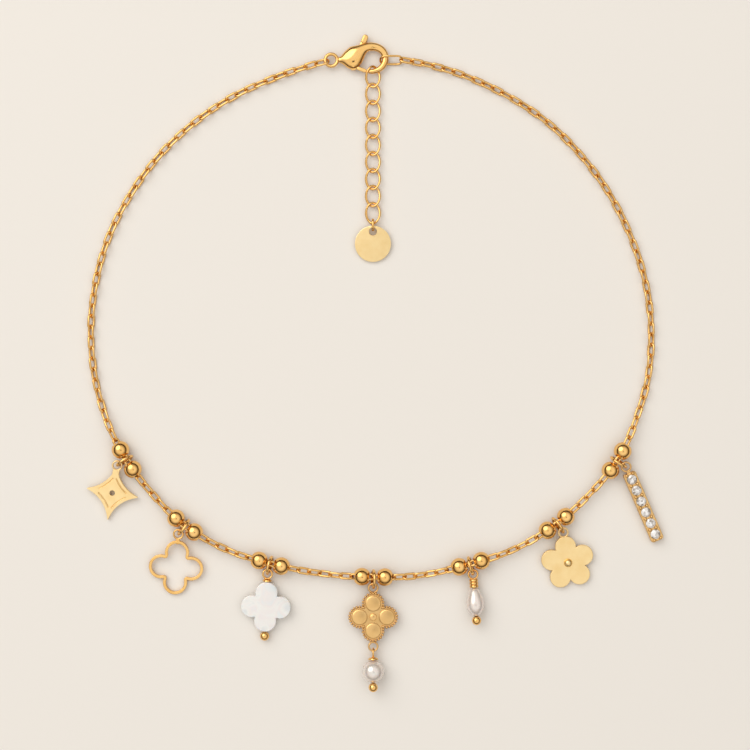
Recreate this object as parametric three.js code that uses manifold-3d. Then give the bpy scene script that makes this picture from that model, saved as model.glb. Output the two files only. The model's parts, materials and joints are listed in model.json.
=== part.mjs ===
// A charm necklace laid flat: a fine cable chain with seven charm stations,
// a lobster clasp, and a short extender that ends in a round tag.
// Millimetres, +Z up. +Y runs from the lowest charm towards the clasp.

import * as THREE from 'three';
import { mergeVertices } from 'three/addons/utils/BufferGeometryUtils.js';
import Module from 'manifold-3d';

const wasm = await Module();
wasm.setup();

const { degToRad, smoothstep, clamp } = THREE.MathUtils;

// Fits between pieces
const CLEARANCE = 0.3;
const STONE_CLEARANCE = 0.12;

// Chain, beads and jump rings
const CHAIN_DIAMETER = 1.6;
const CHAIN_DROP = 12;
const CHAIN_STEPS = 41;
const BEAD_DIAMETER = 4.2;
const BEAD_TO_RING = 0.6;
const RING_WIRE = 0.6;
const RING_PLAY = 1.35;
const RING_SHIFT = 0.45;

// Loops that carry the charms
const LOOP_WIRE = 0.45;
const LOOP_PLAY = 1.1;
const LOOP_DROP = 0.6;
const NECK_WIDTH = 0.9;
const NECK_DEPTH = 0.8;
const CHARM_TOP = 0.9;

// Lobster clasp
const CLASP_X = -0.6;
const CLASP_Y = 71;
const CLASP_LENGTH = 13.7;
const CLASP_HEIGHT = 7.6;
const CLASP_DEPTH = 2.6;
const CLASP_EDGE = 0.35;
const HOOK_WIRE = 1.9;
const HOOK_TIP = 1.15;
const HOOK_DEPTH = 1.15;
const EYE_DIAMETER = 3.8;
const EYE_WIRE = 0.7;
const LEVER_DEPTH = 0.8;
const LEVER_HUB = 1.8;
const LEVER_PIN = 0.6;
const GATE_WIDTH = 0.84;
const TRIGGER_WIDTH = 1.1;
const TRIGGER_LENGTH = 7.8;
const THUMB_WIDTH = 1.4;
const THUMB_DEPTH = 1.6;
const THUMB_LENGTH = 0.3;
const LEVER_TRAVEL = 20;

// End links and extender
const END_WIRE = 0.5;
const END_ROLL = 48;
const EYE_LINK_LENGTH = 3.8;
const EYE_LINK_WIDTH = 2.4;
const EYE_LINK_FALL = 14;
const HOOK_LINK_LENGTH = 5.7;
const HOOK_LINK_WIDTH = 3;
const HOOK_LINK_PLAY = 0.3;
const EXTENDER_LINKS = 9;
const EXTENDER_WIRE = 0.57;
const EXTENDER_WIDTH = 3.8;
const EXTENDER_PITCH = 4;
const EXTENDER_OVERLAP = 0.25;
const EXTENDER_TWIST = 25;
const TOP_LINK_TWIST = 43;

// Round tag and its ring
const TAG_DIAMETER = 8.5;
const TAG_THICKNESS = 0.7;
const TAG_HOLE = 1.8;
const TAG_RIM = 0.45;
const TAG_EDGE = 0.1;
const TAG_RING_HEIGHT = 2.5;

// Star charm
const STAR_WIDTH = 11.7;
const STAR_HEIGHT = 12.4;
const STAR_TOP = 0.35;
const STAR_THICKNESS = 1;
const STAR_HOLE = 1.3;
const STAR_HOLLOW = 1.25;

// Open quatrefoil charm
const OPEN_SPAN = 12.8;
const OPEN_NOTCH = 7.7;
const OPEN_BAND = 0.7;
const OPEN_THICKNESS = 0.9;
const OPEN_TOP = 1.5;

// Shell quatrefoil charm
const SHELL_SPAN = 11.7;
const SHELL_NOTCH = 7;
const SHELL_THICKNESS = 1.9;
const SHELL_EDGE = 0.3;

// Head pins of the shell and the pearls
const PIN_WIRE = 0.5;
const PIN_BALL = 2.2;
const CAP_DIAMETER = 2.1;
const CAP_HEIGHT = 0.65;

// Rosette charm with its pearl
const ROSETTE_SPAN = 11.8;
const ROSETTE_NOTCH = 7.5;
const ROSETTE_THICKNESS = 0.9;
const ROSETTE_DISC = 3.7;
const ROSETTE_DISC_RISE = 0.35;
const ROSETTE_BOSS = 1.7;
const GRAIN = 0.62;
const GRAINS_PER_LOBE = 14;
const ROSETTE_LOOP = 2.5;
const PEARL_DIAMETER = 5.2;
const PEARL_CAP = 2.4;
const PEARL_NECK = 0.7;

// Drop pearl charm
const DROP_LENGTH = 6.4;
const DROP_WIDTH = 4.4;
const DROP_NECK = 2.1;
const WRAP_DIAMETER = 2.1;
const WRAP_TURNS = 3;

// Blossom charm
const BLOSSOM_SPAN = 12.6;
const BLOSSOM_NOTCH = 8.1;
const BLOSSOM_THICKNESS = 1.1;
const BLOSSOM_BOSS = 2;

// Stone bar charm
const BAR_WALL = 0.48;
const BAR_END = 0.62;
const BAR_THICKNESS = 1.6;
const BAR_TOP = 1.5;
const BAR_EDGE = 0.2;
const BAR_CORNER = 0.6;
const BAR_STONES = 6;
const STONE_DIAMETER = 2.15;
const STONE_GAP = 0.65;
const PRONG_DIAMETER = 0.6;

// Shares of a stone's diameter
const STONE_CUT = { table: 0.57, crown: 0.15, girdle: 0.04, pavilion: 0.42 };

// Facets of round forms
const WIRE_SIDES = 6;
const RING_SIDES = 14;
const BEAD_SIDES = 12;
const CHAIN_SIDES = 8;
const ARC_STEPS = 4;
const END_STEPS = 2;
const BEAD_STEPS = 7;
const PEARL_STEPS = 9;

// Middle line of the chain seen from above, from the clasp's eye round to its hook.
// Columns: x, y, and the charm that hangs there.
const CHAIN_ROUTE = [
  [-22.7, 67.3],
  [-32.9, 62.8],
  [-42.2, 56.7],
  [-50.4, 49.1],
  [-57.2, 40.1],
  [-62.5, 30.0],
  [-65.7, 19.1],
  [-66.9, 7.7],
  [-65.9, -3.8],
  [-63.1, -13.5],
  [-58.4, -22.8, 'star'],
  [-51.5, -31.8],
  [-44.7, -38.2, 'open_quatrefoil'],
  [-35.2, -43.8],
  [-24.7, -47.1, 'shell_quatrefoil'],
  [-12.8, -49.5],
  [-0.5, -50.3, 'rosette'],
  [10.7, -49.9],
  [22.2, -47.2, 'drop_pearl'],
  [32.6, -43.8],
  [42.5, -37.8, 'blossom'],
  [50.0, -31.1],
  [56.6, -23.1, 'stone_bar'],
  [61.1, -13.5],
  [64.0, -3.8],
  [64.8, 7.7],
  [63.4, 19.0],
  [59.9, 29.8],
  [54.8, 39.9],
  [48.1, 48.9],
  [40.1, 56.7],
  [30.8, 62.8],
  [20.7, 67.5],
  [13.5, 69.7],
];

// Half outline of the drop pearl from its top to its foot.
// Columns: share of its length, share of its width.
const DROP_OUTLINE = [
  [0.09, 0.56],
  [0.25, 0.76],
  [0.44, 0.93],
  [0.62, 1],
  [0.79, 0.87],
  [0.92, 0.58],
];

// Half outlines of a pin's cap, and of one turn of wire round its neck.
// Columns: share of the width, share of the height.
const CAP_OUTLINE = [
  [0.66, 0.25],
  [1, 0.8],
  [1, 1],
];
const WRAP_OUTLINE = [
  [0.84, 0.04],
  [1, 0.3],
  [1, 0.7],
  [0.84, 0.96],
];

// Degrees that each charm hangs to the right of straight down.
const HANG = {
  star: -10.5,
  open_quatrefoil: -4.2,
  shell_quatrefoil: -2.8,
  rosette: 0,
  drop_pearl: 4.1,
  blossom: 9.1,
  stone_bar: 23.5,
};

// Outline of the clasp's cheeks and middle line of its hook, from the eye's centre.
// Columns: share of the clasp's length, share of its height.
const CHEEK_OUTLINE = [
  [0.13, 0.07],
  [0.235, 0.2],
  [0.32, 0.34],
  [0.44, 0.46],
  [0.58, 0.525],
  [0.69, 0.55],
  [0.685, 0.29],
  [0.62, 0.26],
  [0.575, 0.18],
  [0.548, 0.05],
  [0.53, -0.1],
  [0.49, -0.22],
  [0.43, -0.3],
  [0.36, -0.33],
  [0.3, -0.29],
  [0.225, -0.16],
  [0.13, -0.07],
];
const HOOK_LINE = [
  [0.639, 0.425],
  [0.75, 0.425],
  [0.844, 0.359],
  [0.909, 0.238],
  [0.936, 0.078],
  [0.921, -0.093],
  [0.866, -0.236],
  [0.784, -0.329],
  [0.689, -0.353],
  [0.64, -0.348],
];
const LEVER_PIVOT = [0.38, -0.2];
const THUMB_AT = [0.584, 0.71];
const GATE_AT = [0.565, -0.336];
const HOOK_HANG = [0.715, -0.348];

// Sizes that follow from the ones above
const beadRadius = BEAD_DIAMETER / 2;
const boreRadius = CHAIN_DIAMETER / 2 + CLEARANCE;
const beadLength = 2 * Math.sqrt(beadRadius ** 2 - boreRadius ** 2);
const beadOffset = beadLength / 2 + BEAD_TO_RING + RING_WIRE / 2;
const stationHalf = beadOffset + beadLength / 2;
const ringRadius = (CHAIN_DIAMETER + LOOP_WIRE + RING_PLAY + RING_WIRE) / 2;
const ringHeight = ringRadius + RING_WIRE / 2;
const loopRadius = (RING_WIRE + LOOP_PLAY + LOOP_WIRE) / 2;
const loopHeight = ringHeight - LOOP_DROP;
const loopOut = RING_SHIFT + Math.sqrt(ringRadius ** 2 - LOOP_DROP ** 2) + LOOP_PLAY / 2 - CLEARANCE;
const claspHeight = CLASP_DEPTH / 2;
const eyeRadius = (EYE_DIAMETER - EYE_WIRE) / 2;
const loopDiameter = 2 * loopRadius + LOOP_WIRE;
const pinBore = PIN_WIRE + CLEARANCE;
const ballSeat = Math.sqrt(PIN_BALL ** 2 - pinBore ** 2) / 2;
const seatGap = CLEARANCE / 3;
const stonePitch = STONE_DIAMETER + STONE_GAP;
const barWidth = STONE_DIAMETER + 2 * BAR_WALL;
const barLength = stonePitch * (BAR_STONES - 1) + STONE_DIAMETER + 2 * BAR_END;

const gold = new THREE.MeshStandardMaterial({ color: 0xdba855, roughness: 0.2, metalness: 1 });
const satinGold = new THREE.MeshStandardMaterial({ color: 0xf0cf8e, roughness: 0.45, metalness: 1 });
const shell = new THREE.MeshStandardMaterial({ color: 0xf1e9e2, roughness: 0.25, metalness: 0 });
const pearl = new THREE.MeshStandardMaterial({ color: 0xefe4d3, roughness: 0.3, metalness: 0 });
const crystal = new THREE.MeshStandardMaterial({ color: 0xf4f6f8, roughness: 0.05, metalness: 0 });

// Solids

function solid(geometry) {
  const bare = geometry.clone();
  bare.deleteAttribute('normal');
  bare.deleteAttribute('uv');
  const merged = mergeVertices(bare);
  const vertProperties = new Float32Array(merged.attributes.position.array);
  const triVerts = new Uint32Array(merged.index.array);
  return new wasm.Manifold(new wasm.Mesh({ numProp: 3, vertProperties, triVerts }));
}

function surface(body) {
  const mesh = body.getMesh();
  const geometry = new THREE.BufferGeometry();
  geometry.setAttribute('position', new THREE.BufferAttribute(mesh.vertProperties, 3));
  geometry.setIndex(new THREE.BufferAttribute(mesh.triVerts, 1));
  geometry.computeVertexNormals();
  return geometry;
}

function join(geometries) {
  return geometries.map(solid).reduce((whole, next) => whole.add(next));
}

function cut(body, geometries) {
  return geometries.map(solid).reduce((whole, next) => whole.subtract(next), body);
}

function piece(name, geometry, material) {
  const mesh = new THREE.Mesh(geometry, material.clone());
  mesh.name = name;
  return mesh;
}

// Basic forms

function ellipse(radiusX, radiusY, sides, centreY = 0) {
  const points = [];
  for (let i = 0; i < sides; i += 1) {
    const angle = ((i + 0.5) / sides) * 2 * Math.PI;
    points.push(new THREE.Vector2(radiusX * Math.cos(angle), centreY + radiusY * Math.sin(angle)));
  }
  return new THREE.Shape(points);
}

function plate(shape, thickness, edge = 0, curveSegments = ARC_STEPS) {
  const depth = thickness - 2 * edge;
  const geometry = new THREE.ExtrudeGeometry(shape, {
    depth,
    bevelEnabled: edge > 0,
    bevelThickness: edge,
    bevelSize: edge,
    bevelOffset: -edge,
    bevelSegments: 1,
    curveSegments,
  });
  return geometry.translate(0, 0, -depth / 2);
}

function tube(path, diameter, sides, steps) {
  const section = ellipse(diameter / 2, diameter / 2, sides);
  return new THREE.ExtrudeGeometry(section, { extrudePath: path, steps, bevelEnabled: false });
}

// A rod of even depth whose width tapers along a flat, bent path.
function bentRod(path, from, to, depth, sides, steps) {
  const geometry = new THREE.CylinderGeometry(depth / 2, depth / 2, 1, sides, steps);
  const position = geometry.attributes.position;
  for (let i = 0; i < position.count; i += 1) {
    const share = clamp(position.getY(i) + 0.5, 0, 1);
    const centre = path.getPointAt(share);
    const way = path.getTangentAt(share);
    const across = (position.getX(i) * (from + (to - from) * share)) / depth;
    position.setXYZ(i, centre.x - way.y * across, centre.y + way.x * across, -position.getZ(i));
  }
  return geometry;
}

// An upright rod along Z, or a hole when it is cut away.
function rod(diameter, depth, sides, x = 0, y = 0) {
  const geometry = new THREE.CylinderGeometry(diameter / 2, diameter / 2, depth, sides);
  return geometry.rotateX(Math.PI / 2).translate(x, y, 0);
}

// A round or long link in the XY plane, its long way along Y. Each end may be rolled
// round the long axis, with the twist taken up between the two ends.
function link(length, width, wire, rollTop = 0, rollBottom = rollTop) {
  const radius = (width - wire) / 2;
  const stretch = (length - width) / 2;
  const geometry = new THREE.TorusGeometry(radius, wire / 2, WIRE_SIDES, RING_SIDES);
  geometry.rotateZ(Math.PI / RING_SIDES);
  const position = geometry.attributes.position;
  const axis = new THREE.Vector3(0, 1, 0);
  const vertex = new THREE.Vector3();
  for (let i = 0; i < position.count; i += 1) {
    vertex.fromBufferAttribute(position, i);
    vertex.y += Math.sign(vertex.y) * stretch;
    const share = clamp(vertex.y / (stretch + wire), -1, 1);
    const roll = (rollTop + rollBottom + share * (rollTop - rollBottom)) / 2;
    vertex.applyAxisAngle(axis, degToRad(roll));
    position.setXYZ(i, vertex.x, vertex.y, vertex.z);
  }
  return geometry;
}

function ring(diameter, wire, roll = 0) {
  return link(diameter, diameter, wire, roll);
}

// A turned form round the Y axis. Columns of the profile, from its foot up: radius, y.
function turned(profile, sides) {
  const points = profile.map(([radius, y]) => new THREE.Vector2(radius, y));
  return new THREE.LatheGeometry(points, sides);
}

function drilledBall(diameter, bore, steps, sides) {
  const reach = Math.acos(bore / diameter);
  const profile = [];
  for (let i = 0; i <= steps; i += 1) {
    const angle = reach * ((2 * i) / steps - 1);
    profile.push([(diameter / 2) * Math.cos(angle), (diameter / 2) * Math.sin(angle)]);
  }
  profile.push([...profile[0]]);
  return turned(profile, sides);
}

// Length of a ball that is left when it is drilled through.
function drilledLength(diameter, bore) {
  return Math.sqrt(diameter ** 2 - bore ** 2);
}

function ball(diameter, sides) {
  return new THREE.SphereGeometry(diameter / 2, sides, Math.round(sides / 2));
}

function flatBar(from, to, width, depth) {
  const way = new THREE.Vector2().subVectors(to, from);
  const shape = new THREE.Shape();
  shape.absarc(way.length(), 0, width / 2, -Math.PI / 2, Math.PI / 2, false);
  shape.absarc(0, 0, width / 2, Math.PI / 2, (3 * Math.PI) / 2, false);
  return plate(shape, depth, 0, END_STEPS).rotateZ(way.angle()).translate(from.x, from.y, 0);
}

// How far out round lobes stand that reach the span and meet at the notches' circle
function lobeOut(count, span, notches) {
  const across = notches * Math.cos(Math.PI / count);
  return (span ** 2 - notches ** 2) / (4 * (span - across));
}

// Round lobes set evenly about the middle, the first one on top, meeting in notches.
// With an inset, the outline lies that far inside and rounds each notch.
function lobes(count, span, notches, inset = 0) {
  const out = lobeOut(count, span, notches);
  const radius = span / 2 - out;
  const half = Math.PI / count;
  const notch = notches / 2;
  const sweep = Math.atan2(notch * Math.sin(half), notch * Math.cos(half) - out);
  const shape = new THREE.Shape();
  for (let i = 0; i < count; i += 1) {
    const turn = 2 * half * i + Math.PI / 2;
    const start = turn - sweep;
    const end = turn + sweep;
    shape.absarc(out * Math.cos(turn), out * Math.sin(turn), radius - inset, start, end, false);
    if (inset > 0) {
      const at = turn + half;
      const next = turn + 2 * half - sweep;
      shape.absarc(notch * Math.cos(at), notch * Math.sin(at), inset, end + Math.PI, next + Math.PI, true);
    }
  }
  return shape;
}

// Chain route

// The chain lies on the surface and is lifted at each pair of beads and at the clasp.
function chainHeight(run, whole, runs) {
  const low = CHAIN_DIAMETER / 2;
  const away = Math.min(...runs.map((at) => Math.abs(run - at)));
  const atBeads = 1 - smoothstep(away, stationHalf + CHAIN_DIAMETER, stationHalf + CHAIN_DROP);
  const atClasp = 1 - smoothstep(Math.min(run, whole - run), 0, CHAIN_DROP);
  return low + (beadRadius - low) * atBeads + (claspHeight - low) * atClasp;
}

class ChainLine extends THREE.Curve {
  constructor(plan, runs, from, to) {
    super();
    Object.assign(this, { plan, runs, from, to });
  }

  getPoint(share, target = new THREE.Vector3()) {
    const whole = this.plan.getLength();
    const run = clamp(this.from + (this.to - this.from) * share, 0, whole);
    this.plan.getPointAt(run / whole, target);
    target.z = chainHeight(run, whole, this.runs);
    return target;
  }
}

function planRoute() {
  const ends = [eyeEnd.chain, hookEnd.chain];
  const middle = CHAIN_ROUTE.map(([x, y]) => new THREE.Vector2(x, y));
  const points = [ends[0], ...middle, ends[1]].map(({ x, y }) => new THREE.Vector3(x, y, 0));
  const plan = new THREE.CatmullRomCurve3(points);
  const perSpan = 24;
  plan.arcLengthDivisions = perSpan * (points.length - 1);
  const runs = plan.getLengths();
  const stations = [];
  CHAIN_ROUTE.forEach(([, , charm], i) => {
    if (charm) {
      stations.push({ charm, run: runs[perSpan * (i + 1)] });
    }
  });
  return { plan, stations };
}

function buildChain({ plan, stations }) {
  const runs = stations.map((station) => station.run);
  const middle = runs[Math.floor(runs.length / 2)];
  const halves = {
    chain_left: [0, middle - CLEARANCE / 2],
    chain_right: [middle + CLEARANCE / 2, plan.getLength()],
  };
  return Object.entries(halves).map(([name, [from, to]]) => {
    const line = new ChainLine(plan, runs, from, to);
    return piece(name, tube(line, CHAIN_DIAMETER, CHAIN_SIDES, CHAIN_STEPS), gold);
  });
}

// Clasp

function claspPoint([along, across]) {
  return new THREE.Vector2(along * CLASP_LENGTH, across * CLASP_HEIGHT);
}

// The lever's hub, or the round of the slot that it turns in when it is grown.
function leverHub(grow) {
  const pivot = claspPoint(LEVER_PIVOT);
  return rod(LEVER_HUB + 2 * grow, LEVER_DEPTH + 2 * grow, RING_SIDES, pivot.x, pivot.y);
}

// Gate and trigger arm, turned about the pivot, or the slot that they sweep.
function leverArms(grow, angle) {
  const pivot = claspPoint(LEVER_PIVOT);
  const turn = (point) => point.rotateAround(pivot, degToRad(angle));
  const depth = LEVER_DEPTH + 2 * grow;
  return [
    flatBar(pivot, turn(claspPoint(GATE_AT)), GATE_WIDTH + 2 * grow, depth),
    flatBar(pivot, turn(triggerPoint(0)), TRIGGER_WIDTH + 2 * grow, depth),
  ];
}

// A point on the trigger's middle line, at a distance back from its round end.
function triggerPoint(back) {
  const pivot = claspPoint(LEVER_PIVOT);
  const way = claspPoint(THUMB_AT).sub(pivot).normalize();
  return way.multiplyScalar(TRIGGER_LENGTH - THUMB_WIDTH / 2 - back).add(pivot);
}

function claspLever() {
  const pivot = claspPoint(LEVER_PIVOT);
  const thumb = flatBar(triggerPoint(THUMB_LENGTH), triggerPoint(0), THUMB_WIDTH, THUMB_DEPTH);
  const hole = rod(LEVER_PIN + CLEARANCE, THUMB_DEPTH, RING_SIDES, pivot.x, pivot.y);
  return cut(join([leverHub(0), ...leverArms(0, 0), thumb]), [hole]);
}

function claspBody() {
  const pivot = claspPoint(LEVER_PIVOT);
  const cheeks = plate(new THREE.Shape(CHEEK_OUTLINE.map(claspPoint)), CLASP_DEPTH, CLASP_EDGE);
  const line = HOOK_LINE.map(claspPoint).map(({ x, y }) => new THREE.Vector3(x, y, 0));
  const path = new THREE.CatmullRomCurve3(line);
  const hook = bentRod(path, HOOK_WIRE, HOOK_TIP, HOOK_DEPTH, CHAIN_SIDES, RING_SIDES);
  const rivet = rod(LEVER_PIN, CLASP_DEPTH - 2 * CLASP_EDGE, CHAIN_SIDES, pivot.x, pivot.y);
  const slots = [leverHub(CLEARANCE)];
  const stops = 3;
  for (let i = 0; i <= stops; i += 1) {
    slots.push(...leverArms(CLEARANCE, (LEVER_TRAVEL * i) / stops));
  }
  const slotted = cut(solid(cheeks), slots);
  return [hook, ring(EYE_DIAMETER, EYE_WIRE), rivet].map(solid).reduce((a, b) => a.add(b), slotted);
}

const eyeCentre = new THREE.Vector2(CLASP_X - claspPoint(HOOK_HANG).x, CLASP_Y);

function buildClasp() {
  const clasp = new THREE.Group();
  clasp.position.set(eyeCentre.x, eyeCentre.y, claspHeight);
  clasp.add(piece('clasp_body', surface(claspBody()), gold));
  clasp.add(piece('clasp_lever', surface(claspLever()), gold));
  return clasp;
}

// An end link reaches out from the clasp along its heading. Its nearer bend lies at a
// distance from the eye's centre, and the chain starts just past its farther one.
function endOfChain(heading, nearBend, length) {
  const way = new THREE.Vector2(Math.cos(heading), Math.sin(heading));
  const middle = nearBend + (length - END_WIRE) / 2;
  const far = nearBend + length - END_WIRE / 2 + CLEARANCE;
  return {
    heading,
    centre: way.clone().multiplyScalar(middle).add(eyeCentre),
    chain: way.clone().multiplyScalar(far).add(eyeCentre),
  };
}

const eyeEnd = endOfChain(
  Math.PI + degToRad(EYE_LINK_FALL),
  eyeRadius - EYE_WIRE / 2 - CLEARANCE - END_WIRE / 2,
  EYE_LINK_LENGTH,
);
const hookFront = Math.max(...HOOK_LINE.map((row) => claspPoint(row).x));
const hookEnd = endOfChain(
  0,
  hookFront - (HOOK_WIRE + HOOK_TIP) / 4 - HOOK_LINK_PLAY - END_WIRE / 2,
  HOOK_LINK_LENGTH,
);

function endLink(name, end, length, width) {
  const mesh = piece(name, link(length, width, END_WIRE, END_ROLL), gold);
  mesh.position.set(end.centre.x, end.centre.y, claspHeight);
  mesh.rotation.z = end.heading - Math.PI / 2;
  return mesh;
}

// Extender and tag

function buildExtender() {
  const extender = new THREE.Group();
  const length = EXTENDER_PITCH + 2 * EXTENDER_WIRE + EXTENDER_OVERLAP;
  const radius = (EXTENDER_WIDTH - EXTENDER_WIRE) / 2;
  const bend = (length - EXTENDER_WIRE) / 2;
  const hookTop = CLASP_Y + claspPoint(HOOK_HANG).y + HOOK_TIP / 2;
  const firstY = hookTop + CLEARANCE + EXTENDER_WIRE / 2 - bend;
  const low = radius * Math.sin(degToRad(EXTENDER_TWIST)) + EXTENDER_WIRE / 2;
  for (let i = 0; i < EXTENDER_LINKS; i += 1) {
    const topTwist = i === 0 ? TOP_LINK_TWIST : EXTENDER_TWIST;
    const high = i === 0 ? claspHeight : low;
    const shape = link(length, EXTENDER_WIDTH, EXTENDER_WIRE, topTwist, -EXTENDER_TWIST);
    const mesh = piece(`extender_link_${i + 1}`, shape, gold);
    mesh.position.set(CLASP_X, firstY - i * EXTENDER_PITCH, (high + low) / 2);
    mesh.rotation.x = Math.asin((high - low) / (2 * bend));
    extender.add(mesh);
  }
  const lastBend = firstY - (EXTENDER_LINKS - 1) * EXTENDER_PITCH - bend;
  extender.add(...buildTag(lastBend));
  return extender;
}

// The tag's ring stands on edge through the last link and the tag's hole, and the tag
// leans on it: its far rim lies on the surface.
function buildTag(lastBend) {
  const topBend = lastBend + (TAG_RING_HEIGHT - EXTENDER_WIRE) / 2 - seatGap;
  const rimTop = lastBend - EXTENDER_WIRE / 2 - CLEARANCE;
  const lowBend = rimTop - TAG_RIM - CLEARANCE - EXTENDER_WIRE / 2;
  const ringShape = link(topBend - lowBend + EXTENDER_WIRE, TAG_RING_HEIGHT, EXTENDER_WIRE, 90);
  const tagRing = piece('tag_ring', ringShape, gold);
  tagRing.position.set(CLASP_X, (topBend + lowBend) / 2, TAG_RING_HEIGHT / 2);

  const radius = TAG_DIAMETER / 2;
  const lean = Math.asin((EXTENDER_WIRE + CLEARANCE) / (TAG_DIAMETER - TAG_RIM));
  const outline = ellipse(radius, radius, 2 * BEAD_SIDES);
  outline.holes.push(ellipse(TAG_HOLE / 2, TAG_HOLE / 2, BEAD_SIDES, radius - TAG_RIM - TAG_HOLE / 2));
  const tagDisc = piece('tag_disc', plate(outline, TAG_THICKNESS, TAG_EDGE), satinGold);
  const middle = radius * Math.sin(lean) + (TAG_THICKNESS / 2) * Math.cos(lean);
  tagDisc.position.set(CLASP_X, rimTop - radius * Math.cos(lean), middle);
  tagDisc.rotation.x = lean;
  return [tagRing, tagDisc];
}

// Charms, each in its own frame: the loop's centre is the origin and -Y hangs down.

// Tilt that brings a form's underside, at its reach from the loop, down to the surface.
function restTilt(reach, under) {
  return Math.asin(loopHeight / Math.hypot(reach, under)) - Math.atan2(under, reach);
}

// The loop's hole is kept open, and the loop is soldered on by a short neck.
function withLoop(body, charmTop) {
  const neck = flatBar(
    new THREE.Vector2(0, -loopRadius),
    new THREE.Vector2(0, -charmTop - NECK_WIDTH / 2),
    NECK_WIDTH,
    NECK_DEPTH,
  );
  const hole = rod(2 * loopRadius, CLASP_DEPTH, RING_SIDES);
  return cut(body.add(solid(neck)), [hole]).add(solid(ring(loopDiameter, LOOP_WIRE)));
}

function starCharm() {
  const reach = STAR_TOP + STAR_HEIGHT / 2;
  const tips = [
    new THREE.Vector2(0, -STAR_HEIGHT / 2),
    new THREE.Vector2(STAR_WIDTH / 2, 0),
    new THREE.Vector2(0, STAR_HEIGHT / 2),
    new THREE.Vector2(-STAR_WIDTH / 2, 0),
  ];
  const shape = new THREE.Shape().moveTo(tips[3].x, tips[3].y);
  tips.forEach((tip, i) => {
    const bend = new THREE.Vector2().addVectors(tip, tips[(i + 3) % 4]).multiplyScalar(0.5);
    bend.setLength(bend.length() - 2 * STAR_HOLLOW);
    shape.quadraticCurveTo(bend.x, bend.y, tip.x, tip.y);
  });
  shape.holes.push(ellipse(STAR_HOLE / 2, STAR_HOLE / 2, BEAD_SIDES));
  const body = solid(plate(shape, STAR_THICKNESS).translate(0, -reach, 0));
  return {
    pieces: [piece('star_charm', surface(withLoop(body, STAR_TOP)), satinGold)],
    tilt: restTilt(reach + STAR_HEIGHT / 2, STAR_THICKNESS / 2),
  };
}

function openQuatrefoilCharm() {
  const reach = OPEN_TOP + OPEN_SPAN / 2;
  const shape = lobes(4, OPEN_SPAN, OPEN_NOTCH);
  shape.holes.push(lobes(4, OPEN_SPAN, OPEN_NOTCH, OPEN_BAND));
  const body = solid(plate(shape, OPEN_THICKNESS).translate(0, -reach, 0));
  return {
    pieces: [piece('open_quatrefoil_charm', surface(withLoop(body, OPEN_TOP)), gold)],
    tilt: restTilt(reach + OPEN_SPAN / 2, OPEN_THICKNESS / 2),
  };
}

// A head pin: its loop, a neck or cap, the shaft, and the ball that holds the bead.
// Columns of the neck: radius, distance from the loop's centre.
function headPin(loopSize, roll, neck, ballAt) {
  const shaft = PIN_WIRE / 2;
  const top = neck[0][1];
  const foot = neck[neck.length - 1][1];
  const profile = [[0, -top], ...neck.map(([radius, along]) => [radius, -along])];
  profile.push([shaft, -foot], [shaft, -ballAt], [0, -ballAt]);
  const stem = turned(profile.reverse(), BEAD_SIDES);
  const head = ball(PIN_BALL, BEAD_SIDES).translate(0, -ballAt, 0);
  return join([stem, ring(loopSize, LOOP_WIRE, roll), head]);
}

function outlineNeck(outline, top, diameter, height) {
  return outline.map(([across, along]) => [(diameter / 2) * across, top + height * along]);
}

function capNeck(top, diameter, height) {
  return [[PIN_WIRE / 2, top], ...outlineNeck(CAP_OUTLINE, top, diameter, height)];
}

function wrappedNeck(top) {
  const turn = DROP_NECK / WRAP_TURNS;
  const neck = [];
  for (let i = 0; i < WRAP_TURNS; i += 1) {
    neck.push(...outlineNeck(WRAP_OUTLINE, top + turn * i, WRAP_DIAMETER, turn));
  }
  return neck;
}

function shellQuatrefoilCharm() {
  const shellTop = loopRadius + CAP_HEIGHT + seatGap;
  const reach = shellTop + SHELL_SPAN / 2;
  const ballAt = reach + SHELL_SPAN / 2 + seatGap + ballSeat;
  const body = solid(plate(lobes(4, SHELL_SPAN, SHELL_NOTCH), SHELL_THICKNESS, SHELL_EDGE));
  const drill = new THREE.CylinderGeometry(pinBore / 2, pinBore / 2, 2 * SHELL_SPAN, CHAIN_SIDES);
  const pin = headPin(loopDiameter, 0, capNeck(loopRadius, CAP_DIAMETER, CAP_HEIGHT), ballAt);
  return {
    pieces: [
      piece('shell_quatrefoil', surface(cut(body, [drill])).translate(0, -reach, 0), shell),
      piece('shell_pin', surface(pin), gold),
    ],
    tilt: restTilt(ballAt, PIN_BALL / 2),
  };
}

function rosetteBody(reach) {
  const out = lobeOut(4, ROSETTE_SPAN, ROSETTE_NOTCH);
  const top = ROSETTE_THICKNESS / 2;
  const rise = top + ROSETTE_DISC_RISE;
  const grainRing = (ROSETTE_DISC / 2 + ROSETTE_SPAN / 2 - out) / 2;
  const centres = [[out, 0], [0, out], [-out, 0], [0, -out]].map(([x, y]) => new THREE.Vector2(x, y));
  const parts = [plate(lobes(4, ROSETTE_SPAN, ROSETTE_NOTCH), ROSETTE_THICKNESS)];
  for (const centre of centres) {
    parts.push(rod(ROSETTE_DISC, rise, RING_SIDES, centre.x, centre.y).translate(0, 0, rise / 2));
    for (let i = 0; i < GRAINS_PER_LOBE; i += 1) {
      const turn = (2 * Math.PI * (i + 0.5)) / GRAINS_PER_LOBE;
      const spot = new THREE.Vector2(Math.cos(turn), Math.sin(turn)).multiplyScalar(grainRing).add(centre);
      if (centres.every((other) => other === centre || other.distanceTo(spot) > grainRing)) {
        parts.push(new THREE.OctahedronGeometry(GRAIN / 2).translate(spot.x, spot.y, top));
      }
    }
  }
  parts.push(ball(ROSETTE_BOSS, CHAIN_SIDES).translate(0, 0, top));
  return join(parts.map((part) => part.translate(0, -reach, 0)));
}

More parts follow.
